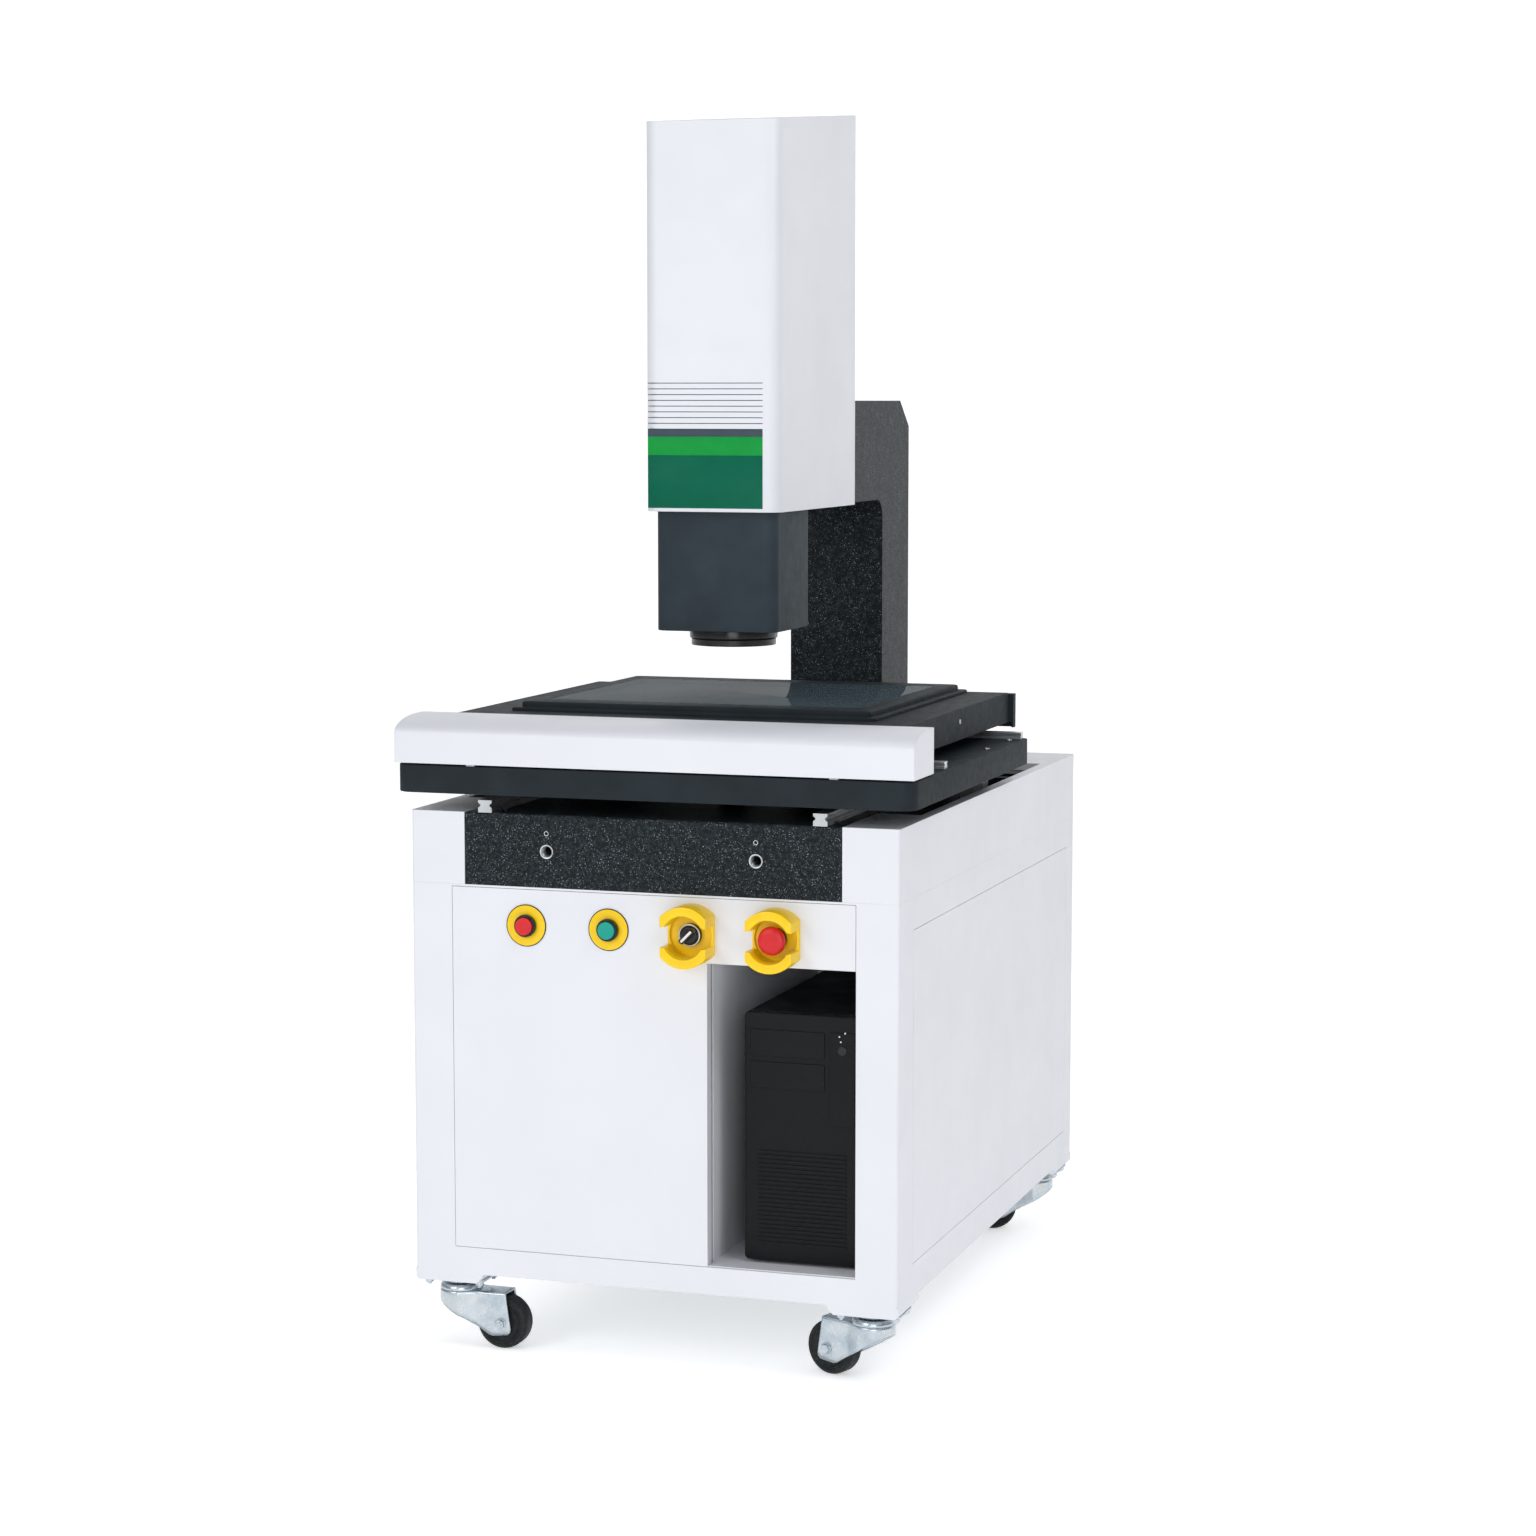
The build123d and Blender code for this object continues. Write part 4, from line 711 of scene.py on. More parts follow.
class MACHINE_OT_stage(bpy.types.Operator):
    """Saddle, stepped glass frame and stage glass"""

    bl_idname = "machine.stage"
    bl_label = "Stage plates and glass"

    def execute(self, context):
        self.add_saddle()
        self.add_glass_frame()
        place = place_of("stage_glass")
        half, deep = half_plan(place)
        glass = slab(half, deep, 4 * MM, place.low[2], place.high[2], 0.5 * MM, 7)
        pane = moved(glass, (*place.middle[:2], 0))
        add_piece("stage_glass_plate", [pane], "glass", "table", ["stage_glass"])
        return {"FINISHED"}

    def add_saddle(self):
        """Rounded plate round a long slot.

        Its rows run from the lower edge outside, over the top, and down in the slot.
        """
        size = sizes()
        place = place_of("saddle")
        low, high, middle = place
        half, deep = half_plan(place)
        # The slot clears the lamp tube over the whole travel of the saddle
        lens_y = place_of("zoom_lens").middle[1]
        clear, travel_to_rear, travel_to_front = 22 * MM, 100 * MM, 200 * MM
        slot_low, slot_high = lens_y - travel_to_rear - clear, lens_y + travel_to_front + clear
        slot = rounded(clear, (slot_high - slot_low) / 2, clear - 1 * MM)
        slot += [0, (slot_low + slot_high) / 2 - middle[1]]
        rear = size.saddle_corner / 3
        radii = np.array([rear, rear, size.saddle_corner, size.saddle_corner])
        insets, heights = soft_edges(low[2], high[2], size.edge)
        loops = [rounded(half - i, deep - i, radii - i) for i in insets] + [slot, slot]
        grid = stacked(loops, [*heights, high[2], low[2]]) + [*middle[:2], 0]
        add_piece("saddle_plate", [patch(grid, wrap=(True, True))], "anodised", "saddle", ["saddle"])

    def add_glass_frame(self):
        """Stepped frame whose rows run up the outside and down at the glass."""
        place = place_of("glass_frame")
        low, high, middle = place
        half, deep = half_plan(place)
        glass = place_of("stage_glass")
        seat = half_plan(glass) + 0.3 * MM
        opening = seat - 6.3 * MM
        step, ledge = low[2] + 4.6 * MM, 11 * MM
        corner, seat_corner, opening_corner = 6 * MM, 4 * MM, 5 * MM
        t = np.linspace(0, np.pi / 2, 5)

        def shoulder(inset, top, radius):
            """Rows of a quarter circle that leaves the side and meets the face at that height."""
            inward, down = inset + radius * (1 - np.cos(t)), top - radius * (1 - np.sin(t))
            return [(half - i, deep - i, corner, z) for i, z in zip(inward, down)]

        # Rows of half width, half depth, corner radius and height
        rows = [
            (half, deep, corner, low[2]), *shoulder(0, step, 1.6 * MM),
            (half - ledge, deep - ledge, corner, step), *shoulder(ledge, high[2], 3.4 * MM),
            (*seat, seat_corner, high[2]), (*seat, seat_corner, glass.low[2]),
            (*opening, opening_corner, glass.low[2]), (*opening, opening_corner, low[2]),
        ]
        loops = [rounded(*row[:3]) for row in rows]
        grid = stacked(loops, [row[3] for row in rows]) + [*middle[:2], 0]
        ring = patch(grid, wrap=(True, True))
        add_piece("glass_frame_ring", [ring], "anodised", "table", ["glass_frame"])


class MACHINE_OT_granite_inserts(bpy.types.Operator):
    """Threaded steel sleeves in the front of the granite, each with a small one above it"""

    bl_idname = "machine.granite_inserts"
    bl_label = "Granite inserts"

    def execute(self, context):
        low, high, middle = place_of("granite_inserts")
        r = (high - low)[2] / 2
        deep = high[1] - low[1]
        bore, thread_depth, thread_start = r * 0.7, 0.9 * MM, 2 * MM
        turns = np.arange(14)
        # Thread drawn as rings: crest and root by turns, 1 mm apart
        thread = np.column_stack([np.where(turns % 2, bore + thread_depth, bore), thread_start + turns * MM])
        profile = np.concatenate([
            [(0, deep), (bore, deep), (bore, 17 * MM)], thread[::-1],
            [(bore + 1 * MM, 0.3 * MM), (r - 0.4 * MM, 0), (r, 0.5 * MM), (r, deep), (0, deep + 0.1 * MM)],
        ])
        sleeve = turned(profile, 40)
        ring = lathed([(1.7, 6), (1.7, 0.2), (3.4, -0.25), (3.6, 6)], 0.2, 3, 24, closed=True)
        centres, ring_above = (low[0] + r, high[0] - r), 25 * MM
        sleeves = [moved(sleeve, (x, low[1], middle[2]), *BACKWARD) for x in centres]
        rings = [moved(ring, (x, low[1], middle[2] + ring_above), *BACKWARD) for x in centres]
        add_piece("insert_sleeves", sleeves, "rail", "base", ["granite_inserts"])
        add_piece("small_inserts", rings, "rail", "base")
        return {"FINISHED"}


def switch_place(node):
    """Axis point of a switch on the front panel."""
    middle = place_of(node).middle
    return np.array([middle[0], place_of("front_panel").low[1], middle[2]])


def on_panel(shape, spot):
    """Stands a shape, drawn with Z as height above the panel, on the front panel."""
    return moved(shape, spot, *FORWARD)


class MACHINE_OT_push_buttons(bpy.types.Operator):
    """Round yellow legend plates with a dark rim, and the two coloured caps"""

    bl_idname = "machine.push_buttons"
    bl_label = "Push buttons"

    def execute(self, context):
        tones = {"power_off_button": "red", "power_on_button": "green"}
        spots = [switch_place(button) for button in tones]
        section = [(11, 0), (11, 1.4), (20, 1.5), (27.6, 1.5), (27.9, 1.2), (27.9, 0)]
        disc = lathed(section, 0.3, 3, 72, closed=True)
        rim = lathed([(27.7, 0), (27.7, 1.35), (29, 1.35), (29, 0)], 0.3, 3, 72, closed=True)
        discs = [on_panel(disc, spot) for spot in spots]
        rims = [on_panel(rim, spot) for spot in spots]
        add_piece("legend_discs", discs, "yellow", "base", ["legend_plates"])
        add_piece("legend_rims", rims, "plastic", "base")
        for (button, tone), spot in zip(tones.items(), spots):
            top = (spot[1] - place_of(button).low[1]) / MM
            flange, foot = top - 4, top - 14.5
            cap = lathed([
                (0, top - 0.7), (9.4, top - 0.5), (10.4, top), (12, top), (12, flange), (7, flange),
                (7, foot), (0, foot),
            ], 0.45, 4, 64)
            add_piece(button + "_cap", [on_panel(cap, spot)], tone, button, [button])
        return {"FINISHED"}


class MACHINE_OT_switch_rings(bpy.types.Operator):
    """Rings in front of the panel and contact blocks behind it, for all four switches"""

    bl_idname = "machine.switch_rings"
    bl_label = "Switch rings"

    def execute(self, context):
        # Switch, height of the plate under its ring, radius of the ring's mouth, and depth of the cup in it
        rings = (
            ("power_off_button", 1.5, 12.3, 5.8), ("power_on_button", 1.5, 12.3, 5.8),
            ("selector_knob", 3.0, 7.05, 6.0), ("estop_cap", 3.0, 7.05, 6.0),
        )
        bore, sleeve, sleeve_end, block_front = 7.05, 11, -26, -26 * MM
        block_back = place_of("front_panel").low[1] - place_of("switch_bodies").high[1]
        side = rounded(15 * MM, 20 * MM, 2 * MM, 4)
        block = patch(stacked([side, side], [block_back, block_front]), caps=(True, True))
        shapes = []
        for name, floor, mouth, cup in rings:
            spot = switch_place(name)
            top = floor + 8
            ring = lathed([
                (bore, floor - 11), (bore, top - cup), (mouth, top - cup), (mouth, top), (14.2, top),
                (15.5, top - 2.5), (15.5, floor), (sleeve, floor), (sleeve, sleeve_end), (8, sleeve_end),
                (8, floor - 11),
            ], 0.6, 4, 64, closed=True)
            shapes += [on_panel(ring, spot), on_panel(block, spot)]
        add_piece("switch_rings", shapes, "gloss_black", "base", ["switch_bodies"])
        return {"FINISHED"}


class MACHINE_OT_guards(bpy.types.Operator):
    """Yellow shrouds: a round wall cut off flat at both sides, with a window in each flat"""

    bl_idname = "machine.guards"
    bl_label = "Switch guards"

    def execute(self, context):
        low, high, _ = place_of("switch_guards")
        shroud = self.shroud((high - low)[2] / 2, high[1] - low[1])
        shapes = [on_panel(shroud, switch_place(name)) for name in ("selector_knob", "estop_cap")]
        add_piece("guard_shrouds", shapes, "yellow", "base", ["switch_guards"], 40)
        return {"FINISHED"}

    def shroud(self, tall, deep):
        """Closed wall section carried round the switch.

        At angle a the outer radius is min(tall, flat / |cos a|), the inner radius is the bore, and the height
        is the full depth, or the window's floor where the point lies within the window's half height of the
        middle plane.
        """
        flat, bore, hole = 32.5 * MM, 29.5 * MM, 11 * MM
        window, window_floor, floor = 14 * MM, 7.5 * MM, 3 * MM
        edge = 1.1 * MM
        corner, lean = math.acos(flat / tall), 0.05
        # Stops of a half turn: the window's side, the corner where flat meets round wall, and the top
        outer = self.half_turn(math.atan2(window, flat), corner)
        inner = self.half_turn(math.asin(window / bore), corner + lean)
        counts = [4, 1, 8, 18, 18, 8, 1, 4]
        in_window = [True, True, False, False, False, False, False, True]
        a, b = self.whole_turn(outer, counts), self.whole_turn(inner, counts)
        cut = np.tile(np.repeat(in_window, counts), 2)
        radius = np.minimum(tall, flat / np.maximum(np.abs(np.cos(a)), 1e-6))
        top = np.where(cut, window_floor, deep)
        outward = np.stack([np.cos(a), np.sin(a)], -1)
        inward = np.stack([np.cos(b), np.sin(b)], -1)
        lip = bore + edge

        def row(radii, directions, z):
            plan = directions * np.broadcast_to(radii, len(a))[:, None]
            return np.column_stack([plan, np.broadcast_to(z, len(a))])

        rows = [
            row(hole, inward, 0), row(radius, outward, 0), row(radius, outward, top - edge),
            row(radius - 0.3 * edge, outward, top - 0.3 * edge), row(radius - edge, outward, top),
            row(lip, inward, top), row(lip - 0.7 * edge, inward, top - 0.3 * edge),
            row(bore, inward, top - edge), row(bore, inward, floor + edge), row(bore - edge, inward, floor),
            row(hole, inward, floor),
        ]
        return patch(np.array(rows), wrap=(True, True))

    def half_turn(self, window_side, corner):
        """Angles of the stops from one flat's middle to the other's; a doubled stop is the window's step."""
        quarter = [0, window_side, window_side, corner]
        return [*quarter, np.pi / 2, *(np.pi - angle for angle in quarter[::-1])]

    def whole_turn(self, stops, counts):
        """Angles spread evenly between the stops, and once more half a turn on."""
        spans = zip(stops[:-1], stops[1:], counts)
        half = np.concatenate([np.linspace(start, end, n, endpoint=False) for start, end, n in spans])
        return np.concatenate([half, half + np.pi])


class MACHINE_OT_selector(bpy.types.Operator):
    """Black selector knob with a white pointer lever"""

    bl_idname = "machine.selector"
    bl_label = "Selector knob"

    def execute(self, context):
        spot = switch_place("selector_knob")
        face, foot = 11.3, -4.7
        top = (spot[1] - place_of("selector_knob").low[1]) / MM
        crown = face + 4.8
        skirt = lathed([
            (0, crown), (10.5, crown), (13, face + 3.2), (13, face), (7, face), (7, foot), (0, foot),
        ], 0.8, 4, 56)
        lever = slab(3.9 * MM, 12.6 * MM, 2.6 * MM, (face + 3) * MM, top * MM, 0.9 * MM, 6)
        inlay = slab(1.7 * MM, 10.5 * MM, 1.2 * MM, (top - 0.3) * MM, (top + 0.02) * MM, 0.1 * MM, 4)
        # At rest the lever points 45 degrees to the right
        turn = math.radians(45)
        aim = ((0, -1, 0), (math.sin(turn), 0, math.cos(turn)))
        grip = [on_panel(skirt, spot), moved(lever, spot, *aim)]
        add_piece("selector_grip", grip, "gloss_black", "selector", ["selector_knob"])
        add_piece("selector_pointer", [moved(inlay, spot, *aim)], "pointer", "selector")
        collar = lathed([(13.4, 11), (13.4, 12.3), (15.2, 12.1), (15.6, 11)], 0.3, 3, 56, closed=True)
        add_piece("selector_collar", [on_panel(collar, spot)], "rail", "base")
        return {"FINISHED"}


class MACHINE_OT_stop_button(bpy.types.Operator):
    """Red mushroom head of the emergency stop"""

    bl_idname = "machine.stop_button"
    bl_label = "Stop button"

    def execute(self, context):
        spot = switch_place("estop_cap")
        low, high, _ = place_of("estop_cap")
        r = (high - low)[0] / 2 / MM
        top = (spot[1] - low[1]) / MM
        base = (spot[1] - high[1]) / MM
        socket, recess = 7.1, base + 5.2
        mushroom = lathed([
            (0, top), (r * 0.62, top - 0.3), (r * 0.93, top - 2.6), (r, recess), (r - 0.6, base + 2.4),
            (r - 3, base), (socket, base), (socket, recess), (0, recess),
        ], 2.2, 6, 72)
        add_piece("stop_mushroom", [on_panel(mushroom, spot)], "red", "estop_cap", ["estop_cap"])
        return {"FINISHED"}


class MACHINE_OT_computer(bpy.types.Operator):
    """Moulded front of the computer: two drive covers, a power button, lamps and an air inlet"""

    bl_idname = "machine.computer"
    bl_label = "Computer front"

    def execute(self, context):
        low, high, _ = place_of("computer_front")
        back = high[1]
        depth = (high[1] - low[1]) / MM
        left, right, bottom, top = low[0] / MM, high[0] / MM, low[2] / MM, high[2] / MM

        def plate(x0, x1, z0, z1, start, end, corner=1.5, edge=0.8):
            """Plate between two x and two z, from `start` to `end` millimetres behind the foremost plane."""
            y0, y1 = (depth - start) * MM, (depth - end) * MM
            shape = slab((x1 - x0) / 2 * MM, (z1 - z0) / 2 * MM, corner * MM, y0, y1, edge * MM, 5)
            return moved(shape, ((x0 + x1) / 2 * MM, back, (z0 + z1) / 2 * MM), *FORWARD)

        shapes = [plate(left, right, bottom, top, depth, 2, 6, 2.5)]
        for cover_top in (top - 22, top - 66):
            shapes.append(plate(left + 9, right - 51, cover_top - 37, cover_top - 1, 3, 0.6))
        shapes.append(plate(right - 44, right - 8, top - 150, top - 22, 3, 0.4))
        for z in bottom + 24 + np.arange(22) * 6:
            shapes.append(plate(left + 20, right - 20, z, z + 3, 3, 0.5, 0.8, 0.5))
        add_piece("computer_front_moulding", shapes, "plastic", "base", ["computer_front"])

        def at(dx, dz, behind):
            """A place on the face, measured from its upper right corner."""
            return ((right + dx) * MM, back - (depth - behind) * MM, (top + dz) * MM)

        button = lathed([(0, 0.8), (5.6, 1.2), (6.5, 0.6), (6.5, -1)], 0.5, 4, 40)
        add_piece("computer_power_key", [moved(button, at(-26, -46, 0.5), *FORWARD)], "gloss_black", "base")
        lamp = lathed([(0, 0.6), (1.1, 0.5), (1.4, -0.5)], 0.2, 3, 12)
        lamps = [moved(lamp, at(dx, dz, 0.4), *FORWARD) for dx, dz in ((-30, -27), (-22, -22), (-28, -34))]
        add_piece("computer_lamps", lamps, "lamp", "base")
        return {"FINISHED"}


def hexagon(across_flats, low, high, edge):
    """A hexagon nut or head: a six-sided prism whose corners are turned off towards both faces."""
    a = np.arange(24) * np.pi / 12
    r = across_flats / 2
    flat = r / np.cos((a + np.pi / 6) % (np.pi / 3) - np.pi / 6)
    corner = np.column_stack([flat * np.cos(a), flat * np.sin(a)])
    face = np.column_stack([r * 0.97 * np.cos(a), r * 0.97 * np.sin(a)])
    levels = [low, low + edge, high - edge, high]
    return patch(stacked([face, corner, corner, face], levels), caps=(True, True))


# Half of the width over the outsides of a caster fork's legs
FORK_HALF = 19 * MM


class MACHINE_OT_casters(bpy.types.Operator):
    """Four swivel casters: mounting plates with nuts, pressed forks, axle bolts and turned wheels"""

    bl_idname = "machine.casters"
    bl_label = "Casters"

    def execute(self, context):
        mounts, nuts = [], []
        for key in ("fl", "fr", "br", "bl"):
            foot = np.array([*joint("swivel_" + key)["pos_m"][:2], 0])
            axle = np.array(joint("roll_" + key)["pos_m"])
            along = (axle - foot) * [1, 1, 0]
            trail = np.linalg.norm(along)
            along = along / trail
            side = np.array([-along[1], along[0], 0])
            mounts += self.mount(foot)
            nuts += self.mount_nuts(foot)
            self.add_fork(key, foot, along, side, trail)
            self.add_axle(key, axle, side)
            self.add_wheel(key, axle, side)
        add_piece("caster_mounts", mounts, "zinc", "base", ["caster_tops"])
        add_piece("caster_nuts", nuts, "zinc", "base")
        return {"FINISHED"}

    def mount(self, foot):
        """Plate with round corners, the turned upper race and the king pin's head."""
        top = place_of("caster_tops").high[2]
        plate = slab(46 * MM, 33 * MM, 9 * MM, top - 3 * MM, top, 0.5 * MM, 6)
        race = lathed([(0, 97.5), (27, 97.5), (26.4, 94.5), (24.6, 91), (22, 89.5), (0, 89.5)], 1.4, 4, 56)
        head = [(0, 79), (5, 79), (5, 78.0), (8, 78.0), (8, 76.4), (6, 75.6), (0, 75.6)]
        pin = lathed(head, 0.5, 3, 56)
        shaft = turned(np.array([(4.9, 78.2), (4.9, 91)]) * MM, 56)
        return [moved(shape, foot) for shape in (plate, race, pin, shaft)]

    def mount_nuts(self, foot):
        """A nut and the end of its stud at each corner of the mounting plate."""
        top = place_of("caster_tops").high[2]
        nut = hexagon(10 * MM, top - 9 * MM, top - 3 * MM, 0.7 * MM)
        stud = lathed([(0, 88), (2.6, 88.3), (3, 89), (3, 92)], 0.3, 3, 16)
        corners = [foot + np.array([x, y, 0]) * MM for x in (-38, 38) for y in (-25, 25)]
        return [moved(shape, corner) for corner in corners for shape in (nut, stud)]

    def add_fork(self, key, foot, along, side, trail):
        """Pressed fork: a skirt between an upper and a lower outline, with a rolled shoulder and a roof.

        Upper outline T(u) and lower outline B(u) run from one leg's end, round the swivel, to the other leg's
        end, and the skirt is (1-v) T + v B. The shoulder turns T inwards by s(1 - cos) while it climbs by
        s sin.
        """
        size = sizes()
        r, roof, half = size.race_radius, 81.5 * MM, FORK_HALF
        knee, knee_low, sweep_rise = trail * 0.44, 33 * MM, 34.5 * MM
        # Key columns of one leg from its end to the tangent of the round head: upper x, lower x, y, lower z
        leg = np.array([
            (trail + 8 * MM, trail + 15 * MM, half, 30 * MM),
            (trail + 6 * MM, trail + 14 * MM, half, 25 * MM),
            (trail + 3 * MM, trail + 10.5 * MM, half, 21.8 * MM),
            (trail - 4 * MM, trail - 2 * MM, half, 20.2 * MM),
            (trail * 0.8, trail * 0.79 + 2 * MM, half, 19.2 * MM),
            (trail * 0.72, trail * 0.74, half, 20.6 * MM),
            (knee + 6 * MM, knee + 4 * MM, half, 30.6 * MM),
            (knee + 1 * MM, knee, half + 0.4 * MM, knee_low),
            (knee - 4 * MM, knee - 4 * MM, half + 2.6 * MM, 35.6 * MM),
            (knee * 0.45, knee * 0.45, half + (r - half) * 0.6, 42.5 * MM),
        ])
        a = np.linspace(np.pi / 2 - 0.2, 3 * np.pi / 2 + 0.2, 33)
        arc_x, arc_y = r * np.cos(a), r * np.sin(a)
        arc_z = knee_low + (knee - arc_x) / (knee + r) * sweep_rise
        top_leg, low_leg = leg[:, [0, 2]], leg[:, [1, 2, 3]]
        top_xy = np.concatenate([top_leg, np.column_stack([arc_x, arc_y]), (top_leg * [1, -1])[::-1]])
        low_arc = np.column_stack([arc_x, arc_y, arc_z])
        low_xyz = np.concatenate([low_leg, low_arc, (low_leg * [1, -1, 1])[::-1]])
        shoulder = 4 * MM
        inward = np.column_stack([np.clip(top_xy[:, 0], 0, None), np.zeros(len(top_xy))]) - top_xy
        inward /= np.linalg.norm(inward, axis=1)[:, None]
        upper = np.column_stack([top_xy, np.full(len(top_xy), roof - shoulder)])
        rows = [low_xyz + (upper - low_xyz) * v for v in np.linspace(0, 1, 7)]
        for t in np.linspace(0, np.pi / 2, 6)[1:]:
            plan = top_xy + inward * shoulder * (1 - math.cos(t))
            rows.append(np.column_stack([plan, np.full(len(plan), roof - shoulder + shoulder * math.sin(t))]))
        points, faces = patch(np.array(rows), wrap=(False, False), caps=(False, True))
        sheet = (points @ np.stack([along, side, [0, 0, 1]]) + foot, faces)
        body = "fork_" + key
        fork = add_piece("fork_sheet_" + key, [sheet], "zinc", body, ["caster_fork_" + key], 50)
        solid = fork.modifiers.new("Sheet", "SOLIDIFY")
        solid.thickness = size.fork_sheet
        solid.offset = -1
        race = lathed([
            (0, 81), (29.8, 81), (30, 83.5), (28.6, 87.4), (26, 89.2), (23.6, 88.6), (22.8, 86.5), (0, 86.5),
        ], 1.3, 5, 72)
        add_piece("fork_race_" + key, [moved(race, foot)], "zinc", body)

    def add_axle(self, key, axle, side):
        """Hexagon bolt with a washer through both legs and a nut on the far side."""
        washer = lathed([(0, 0), (8.2, 0), (8.2, 1.3), (0, 1.3)], 0.3, 3, 32)
        far_end = -2 * FORK_HALF / MM - 7.5
        stem = lathed([(0, far_end), (3.6, far_end), (4, far_end + 0.5), (4, 0.5)], 0.3, 3, 24)
        flats, face, soft = 12.5 * MM, 1.2 * MM, 0.6 * MM
        head, nut = hexagon(flats, face, 5.2 * MM, soft), hexagon(flats, face, 6 * MM, soft)
        near, far = axle + side * FORK_HALF, axle - side * FORK_HALF
        shapes = [moved(shape, near, side) for shape in (washer, head, stem)]
        shapes += [moved(shape, far, -side) for shape in (washer, nut)]
        add_piece("axle_bolt_" + key, shapes, "zinc", "fork_" + key)

    def add_wheel(self, key, axle, side):
        """Turned wheel: round tread, a groove beside it, a dished web and a hub wider than the tread."""
        half = [
            (4.05, 15.5), (12, 15.5), (13, 14.6), (13.4, 10.5), (23, 10.8), (26.6, 12.6), (27.4, 13.6),
            (28.8, 13.6), (29.3, 12.9), (30.1, 12.9), (30.6, 13.9), (33.8, 14), (36.4, 11.8), (37.5, 8.2),
        ]
        mirrored = [(radius, -offset) for radius, offset in half[::-1]]
        wheel = moved(lathed(half + mirrored, 0.7, 4, 96, closed=True), axle, side)
        add_piece("caster_tyre_" + key, [wheel], "rubber", "wheel_" + key, ["caster_wheel_" + key])


def cap_screws(radius, height, spots, axis=(0, 0, 1), across=(0, 1, 0)):
    """Socket cap screws: each a turned head with a rounded rim and a socket sunk in it."""
    corners = [(0.42, 0.5), (0.5, 1.0), (0.93, 1.0), (1.0, 0.86), (1.0, 0.0)]
    rim = eased(corners, 0.06, 3, closed=False) * [radius, height]
    head = turned(np.concatenate([[(0, 0.5 * height)], rim]), 24)
    return [moved(head, spot, axis, across) for spot in spots]


class MACHINE_OT_fasteners(bpy.types.Operator):
    """Cap screws on saddle, table and rear panel and beside the rails, and plugs in the column"""

    bl_idname = "machine.fasteners"
    bl_label = "Fasteners"

    def execute(self, context):
        # Two at either side of the saddle, in its upper face
        saddle_top = place_of("saddle").high[2]
        spots = [(x * MM, y * MM, saddle_top) for x in (-352, 352) for y in (-40, 90)]
        add_piece("saddle_screws", cap_screws(4.2 * MM, 1.6 * MM, spots), "rail", "saddle")
        # Two in each side edge of the table
        table = place_of("x_table")
        side, level = table.high[0], table.middle[2] + 4 * MM
        bolts = []
        for sign in (-1, 1):
            spots = [(sign * side, y * MM, level) for y in (-300, -100)]
            bolts += cap_screws(3.4 * MM, 1.0 * MM, spots, (sign, 0, 0))
        add_piece("table_screws", bolts, "rail", "table")
        # Two beside the front end of each Y rail
        granite = place_of("granite_base")
        top, behind_front = granite.high[2], granite.low[1] + 14 * MM
        spots = [((x + dx) * MM, behind_front, top) for x in (-240, 240) for dx in (18, 26)]
        add_piece("rail_stop_screws", cap_screws(2.6 * MM, 5 * MM, spots), "black", "base")
        # Two plugs low in the right side of the column
        column = place_of("granite_column")
        spots = [(column.high[0], column.high[1] - y * MM, top + 48 * MM) for y in (68, 80)]
        add_piece("column_plugs", cap_screws(3.0 * MM, 0.6 * MM, spots, (1, 0, 0)), "black", "base")
        # Three along the upper and three along the lower edge of the rear panel
        low, high, _ = place_of("rear_panel")
        margin, sunk = 12 * MM, 1.5 * MM
        levels = (low[2] + margin, high[2] - margin)
        spots = [(x, high[1] - sunk, z) for x in (low[0] + margin, 0, high[0] - margin) for z in levels]
        add_piece("rear_panel_screws", cap_screws(4 * MM, sunk, spots, *BACKWARD), "rail", "base")
        return {"FINISHED"}


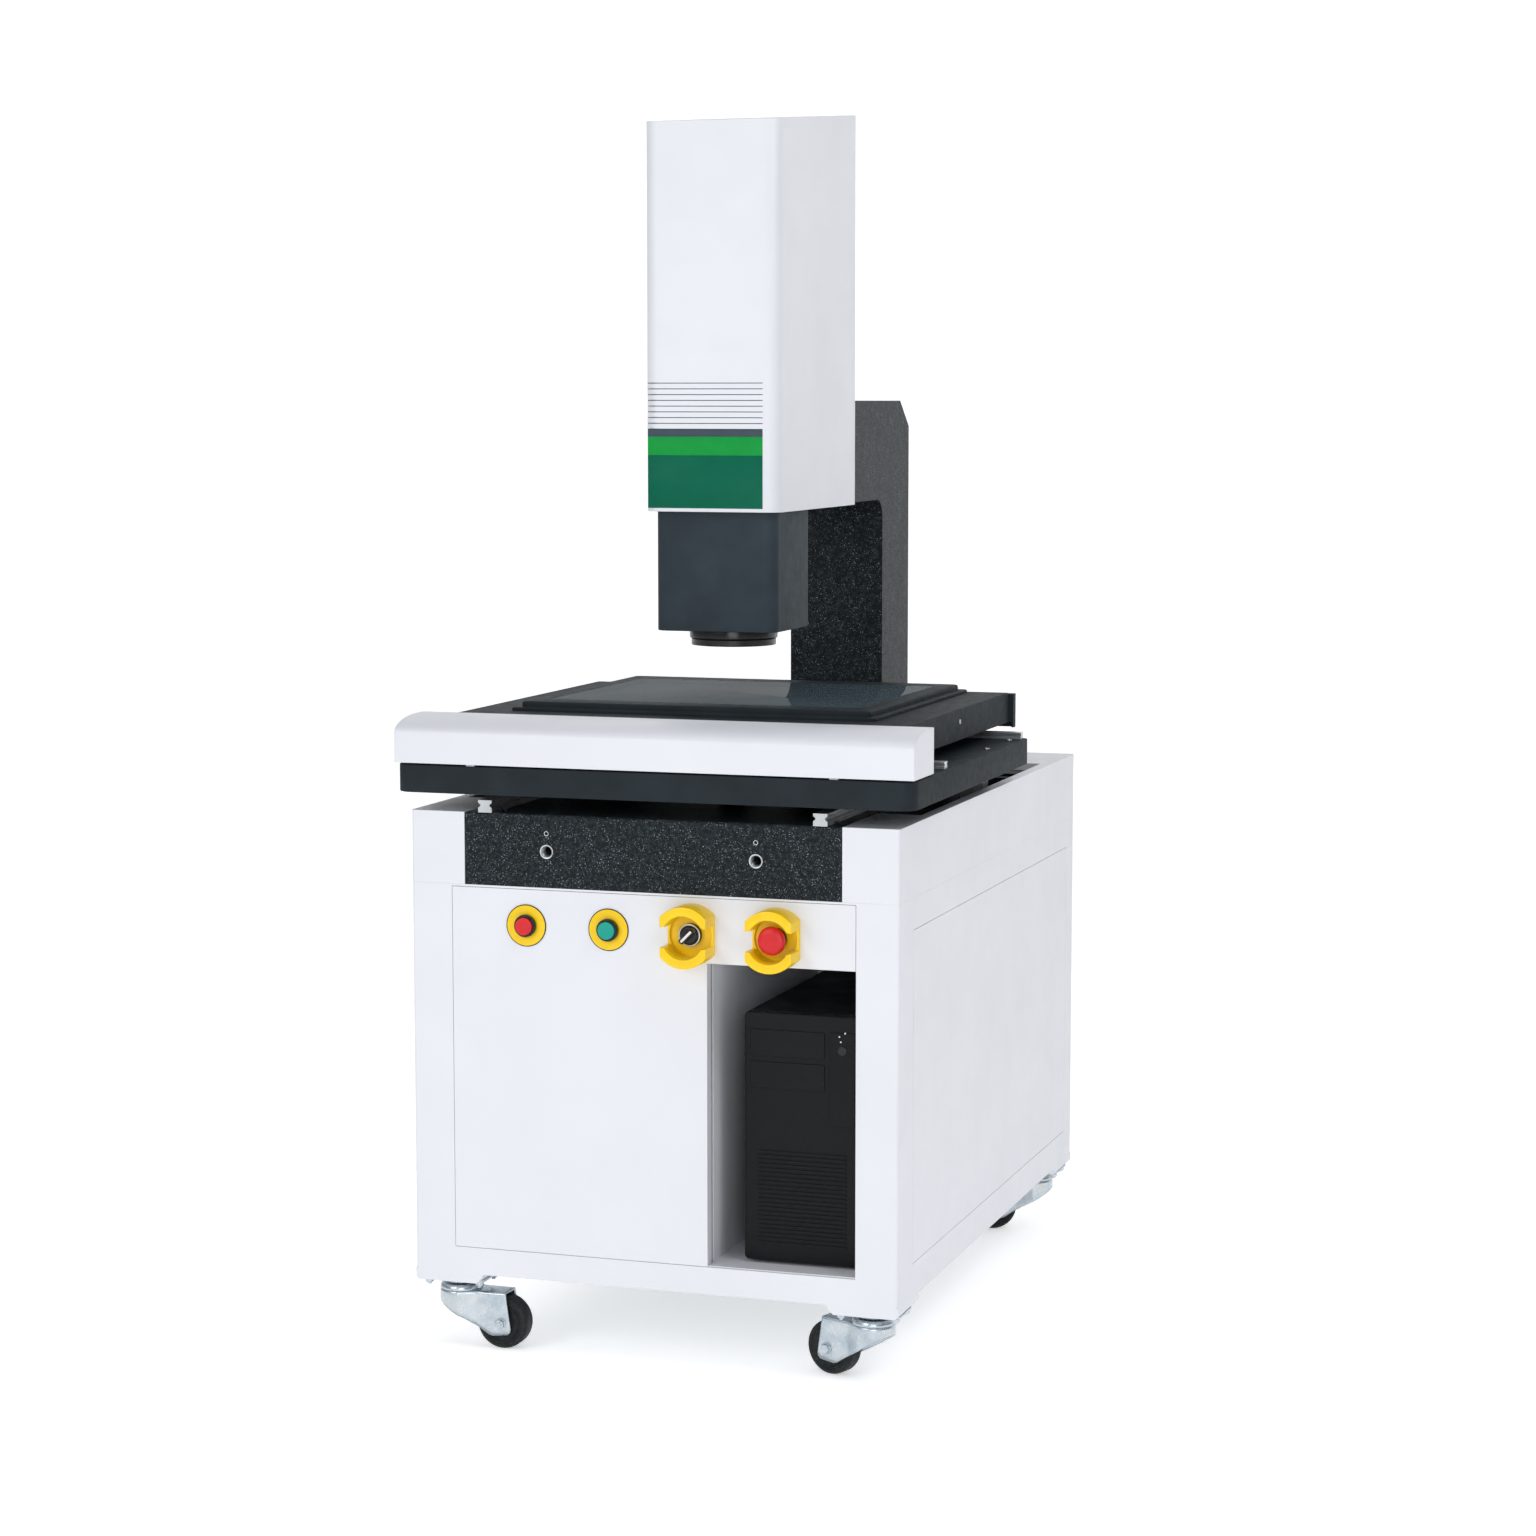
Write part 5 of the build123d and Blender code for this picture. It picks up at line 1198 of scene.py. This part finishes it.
class MACHINE_OT_studio(bpy.types.Operator):
    """Pale floor and backdrop, soft lights and the camera at the photograph's angle"""

    bl_idname = "machine.studio"
    bl_label = "Studio"

    def execute(self, context):
        scene = context.scene
        scene.view_settings.view_transform = "Standard"
        self.add_floor(scene)
        world = bpy.data.worlds.new("soft_sky")
        scene.world = world
        world.use_nodes = True
        sky = world.node_tree.nodes["Background"]
        sky.inputs["Color"].default_value = linear("#F4F6FA")
        sky.inputs["Strength"].default_value = 0.34
        # Place in metres, power in watts, width in metres
        self.add_light("key_softbox", (-2.2, -4.8, 2.6), 66, 2.6)
        self.add_light("front_softbox", (1.6, -5.4, 1.3), 52, 2.2)
        self.add_light("side_softbox", (2.4, -1.6, 3.2), 22, 1.2)
        self.add_light("top_softbox", (0.0, -0.4, 4.6), 30, 3.0)
        self.add_camera(scene)
        return {"FINISHED"}

    def add_floor(self, scene):
        """Level floor that bends up, along a quarter circle, into an upright backdrop."""
        reach = sizes().studio
        rise = np.linspace(0, np.pi / 2, 17)
        bend, back, backdrop_top = 2.0, 4.0, 7.0
        y = np.concatenate([[-reach], back + bend * np.sin(rise), [back + bend]])
        z = np.concatenate([[0], bend * (1 - np.cos(rise)), [backdrop_top]])
        grid = np.stack([np.column_stack([np.full(len(y), x), y, z]) for x in (reach, -reach)], 1)
        points, faces = patch(grid, wrap=(False, False))
        mesh = bpy.data.meshes.new("studio_floor")
        mesh.from_pydata(points.tolist(), [], faces)
        mesh.polygons.foreach_set("use_smooth", np.ones(len(mesh.polygons), bool))
        mesh.materials.append(self.paper())
        floor = bpy.data.objects.new("studio_floor", mesh)
        scene.collection.objects.link(floor)

    def paper(self):
        """Matt white backdrop paper: even and pale, with a faint tooth."""
        material = bpy.data.materials.new("studio_paper")
        material.use_nodes = True
        tree = material.node_tree
        shader = tree.nodes["Principled BSDF"]
        for socket in ("Base Color", "Emission Color"):
            shader.inputs[socket].default_value = tuple(colours().floor)
        shader.inputs["Roughness"].default_value = 0.9
        shader.inputs["Emission Strength"].default_value = 0.45
        place = tree.nodes.new("ShaderNodeTexCoord").outputs["Object"]
        relief(tree, shader, place, 6.0, 0.05, 0.2)
        return material

    def add_light(self, name, place, power, width):
        """Square soft light that looks at the machine's middle."""
        lamp = bpy.data.lights.new(name, "AREA")
        lamp.shape = "SQUARE"
        lamp.size = width
        lamp.energy = power
        light = bpy.data.objects.new(name, lamp)
        light.location = place
        aim = Vector((0, 0, 0.8)) - Vector(place)
        light.rotation_euler = aim.to_track_quat("-Z", "Y").to_euler()
        bpy.context.scene.collection.objects.link(light)

    def add_camera(self, scene):
        """The photograph's viewpoint: 18.25 degrees to the right of the front and 6.26 degrees down."""
        data = bpy.data.cameras.new("photo_camera")
        data.sensor_width = 36.0
        data.lens = 80.0
        camera = bpy.data.objects.new("photo_camera", data)
        turn, tilt = math.radians(18.25), math.radians(6.26)
        right = Vector((math.cos(turn), math.sin(turn), 0))
        back = Vector((math.sin(turn) * math.cos(tilt), -math.cos(turn) * math.cos(tilt), math.sin(tilt)))
        up = back.cross(right)
        view = Matrix((right, up, back)).transposed()
        camera.matrix_world = Matrix.Translation((1.577, -4.755, 1.329)) @ view.to_4x4()
        scene.collection.objects.link(camera)
        scene.camera = camera


STEPS = (
    MACHINE_OT_carried_over, MACHINE_OT_head_cover, MACHINE_OT_lens_unit, MACHINE_OT_front_bar,
    MACHINE_OT_stage, MACHINE_OT_granite_inserts, MACHINE_OT_push_buttons, MACHINE_OT_switch_rings,
    MACHINE_OT_guards, MACHINE_OT_selector, MACHINE_OT_stop_button, MACHINE_OT_computer, MACHINE_OT_casters,
    MACHINE_OT_fasteners, MACHINE_OT_studio,
)


class MACHINE_PT_parts(bpy.types.Panel):
    """Lists the machine's parts, in the order in which they are made"""

    bl_idname = "MACHINE_PT_parts"
    bl_label = "Vision measuring machine"
    bl_space_type = "VIEW_3D"
    bl_region_type = "UI"
    bl_category = "Machine"

    def draw(self, context):
        for step in STEPS:
            self.layout.operator(step.bl_idname)


CLASSES = (MachineColours, MachineSizes, *STEPS, MACHINE_PT_parts)


def register():
    for one in CLASSES:
        bpy.utils.register_class(one)
    bpy.types.Scene.machine_colours = bpy.props.PointerProperty(type=MachineColours)
    bpy.types.Scene.machine_sizes = bpy.props.PointerProperty(type=MachineSizes)


def unregister():
    del bpy.types.Scene.machine_sizes
    del bpy.types.Scene.machine_colours
    for one in reversed(CLASSES):
        bpy.utils.unregister_class(one)


def main():
    register()
    for step in STEPS:
        group, name = step.bl_idname.split(".")
        result = getattr(getattr(bpy.ops, group), name)()
        if result != {"FINISHED"}:
            raise RuntimeError(step.bl_label + " was not made")


if __name__ == "__main__":
    main()
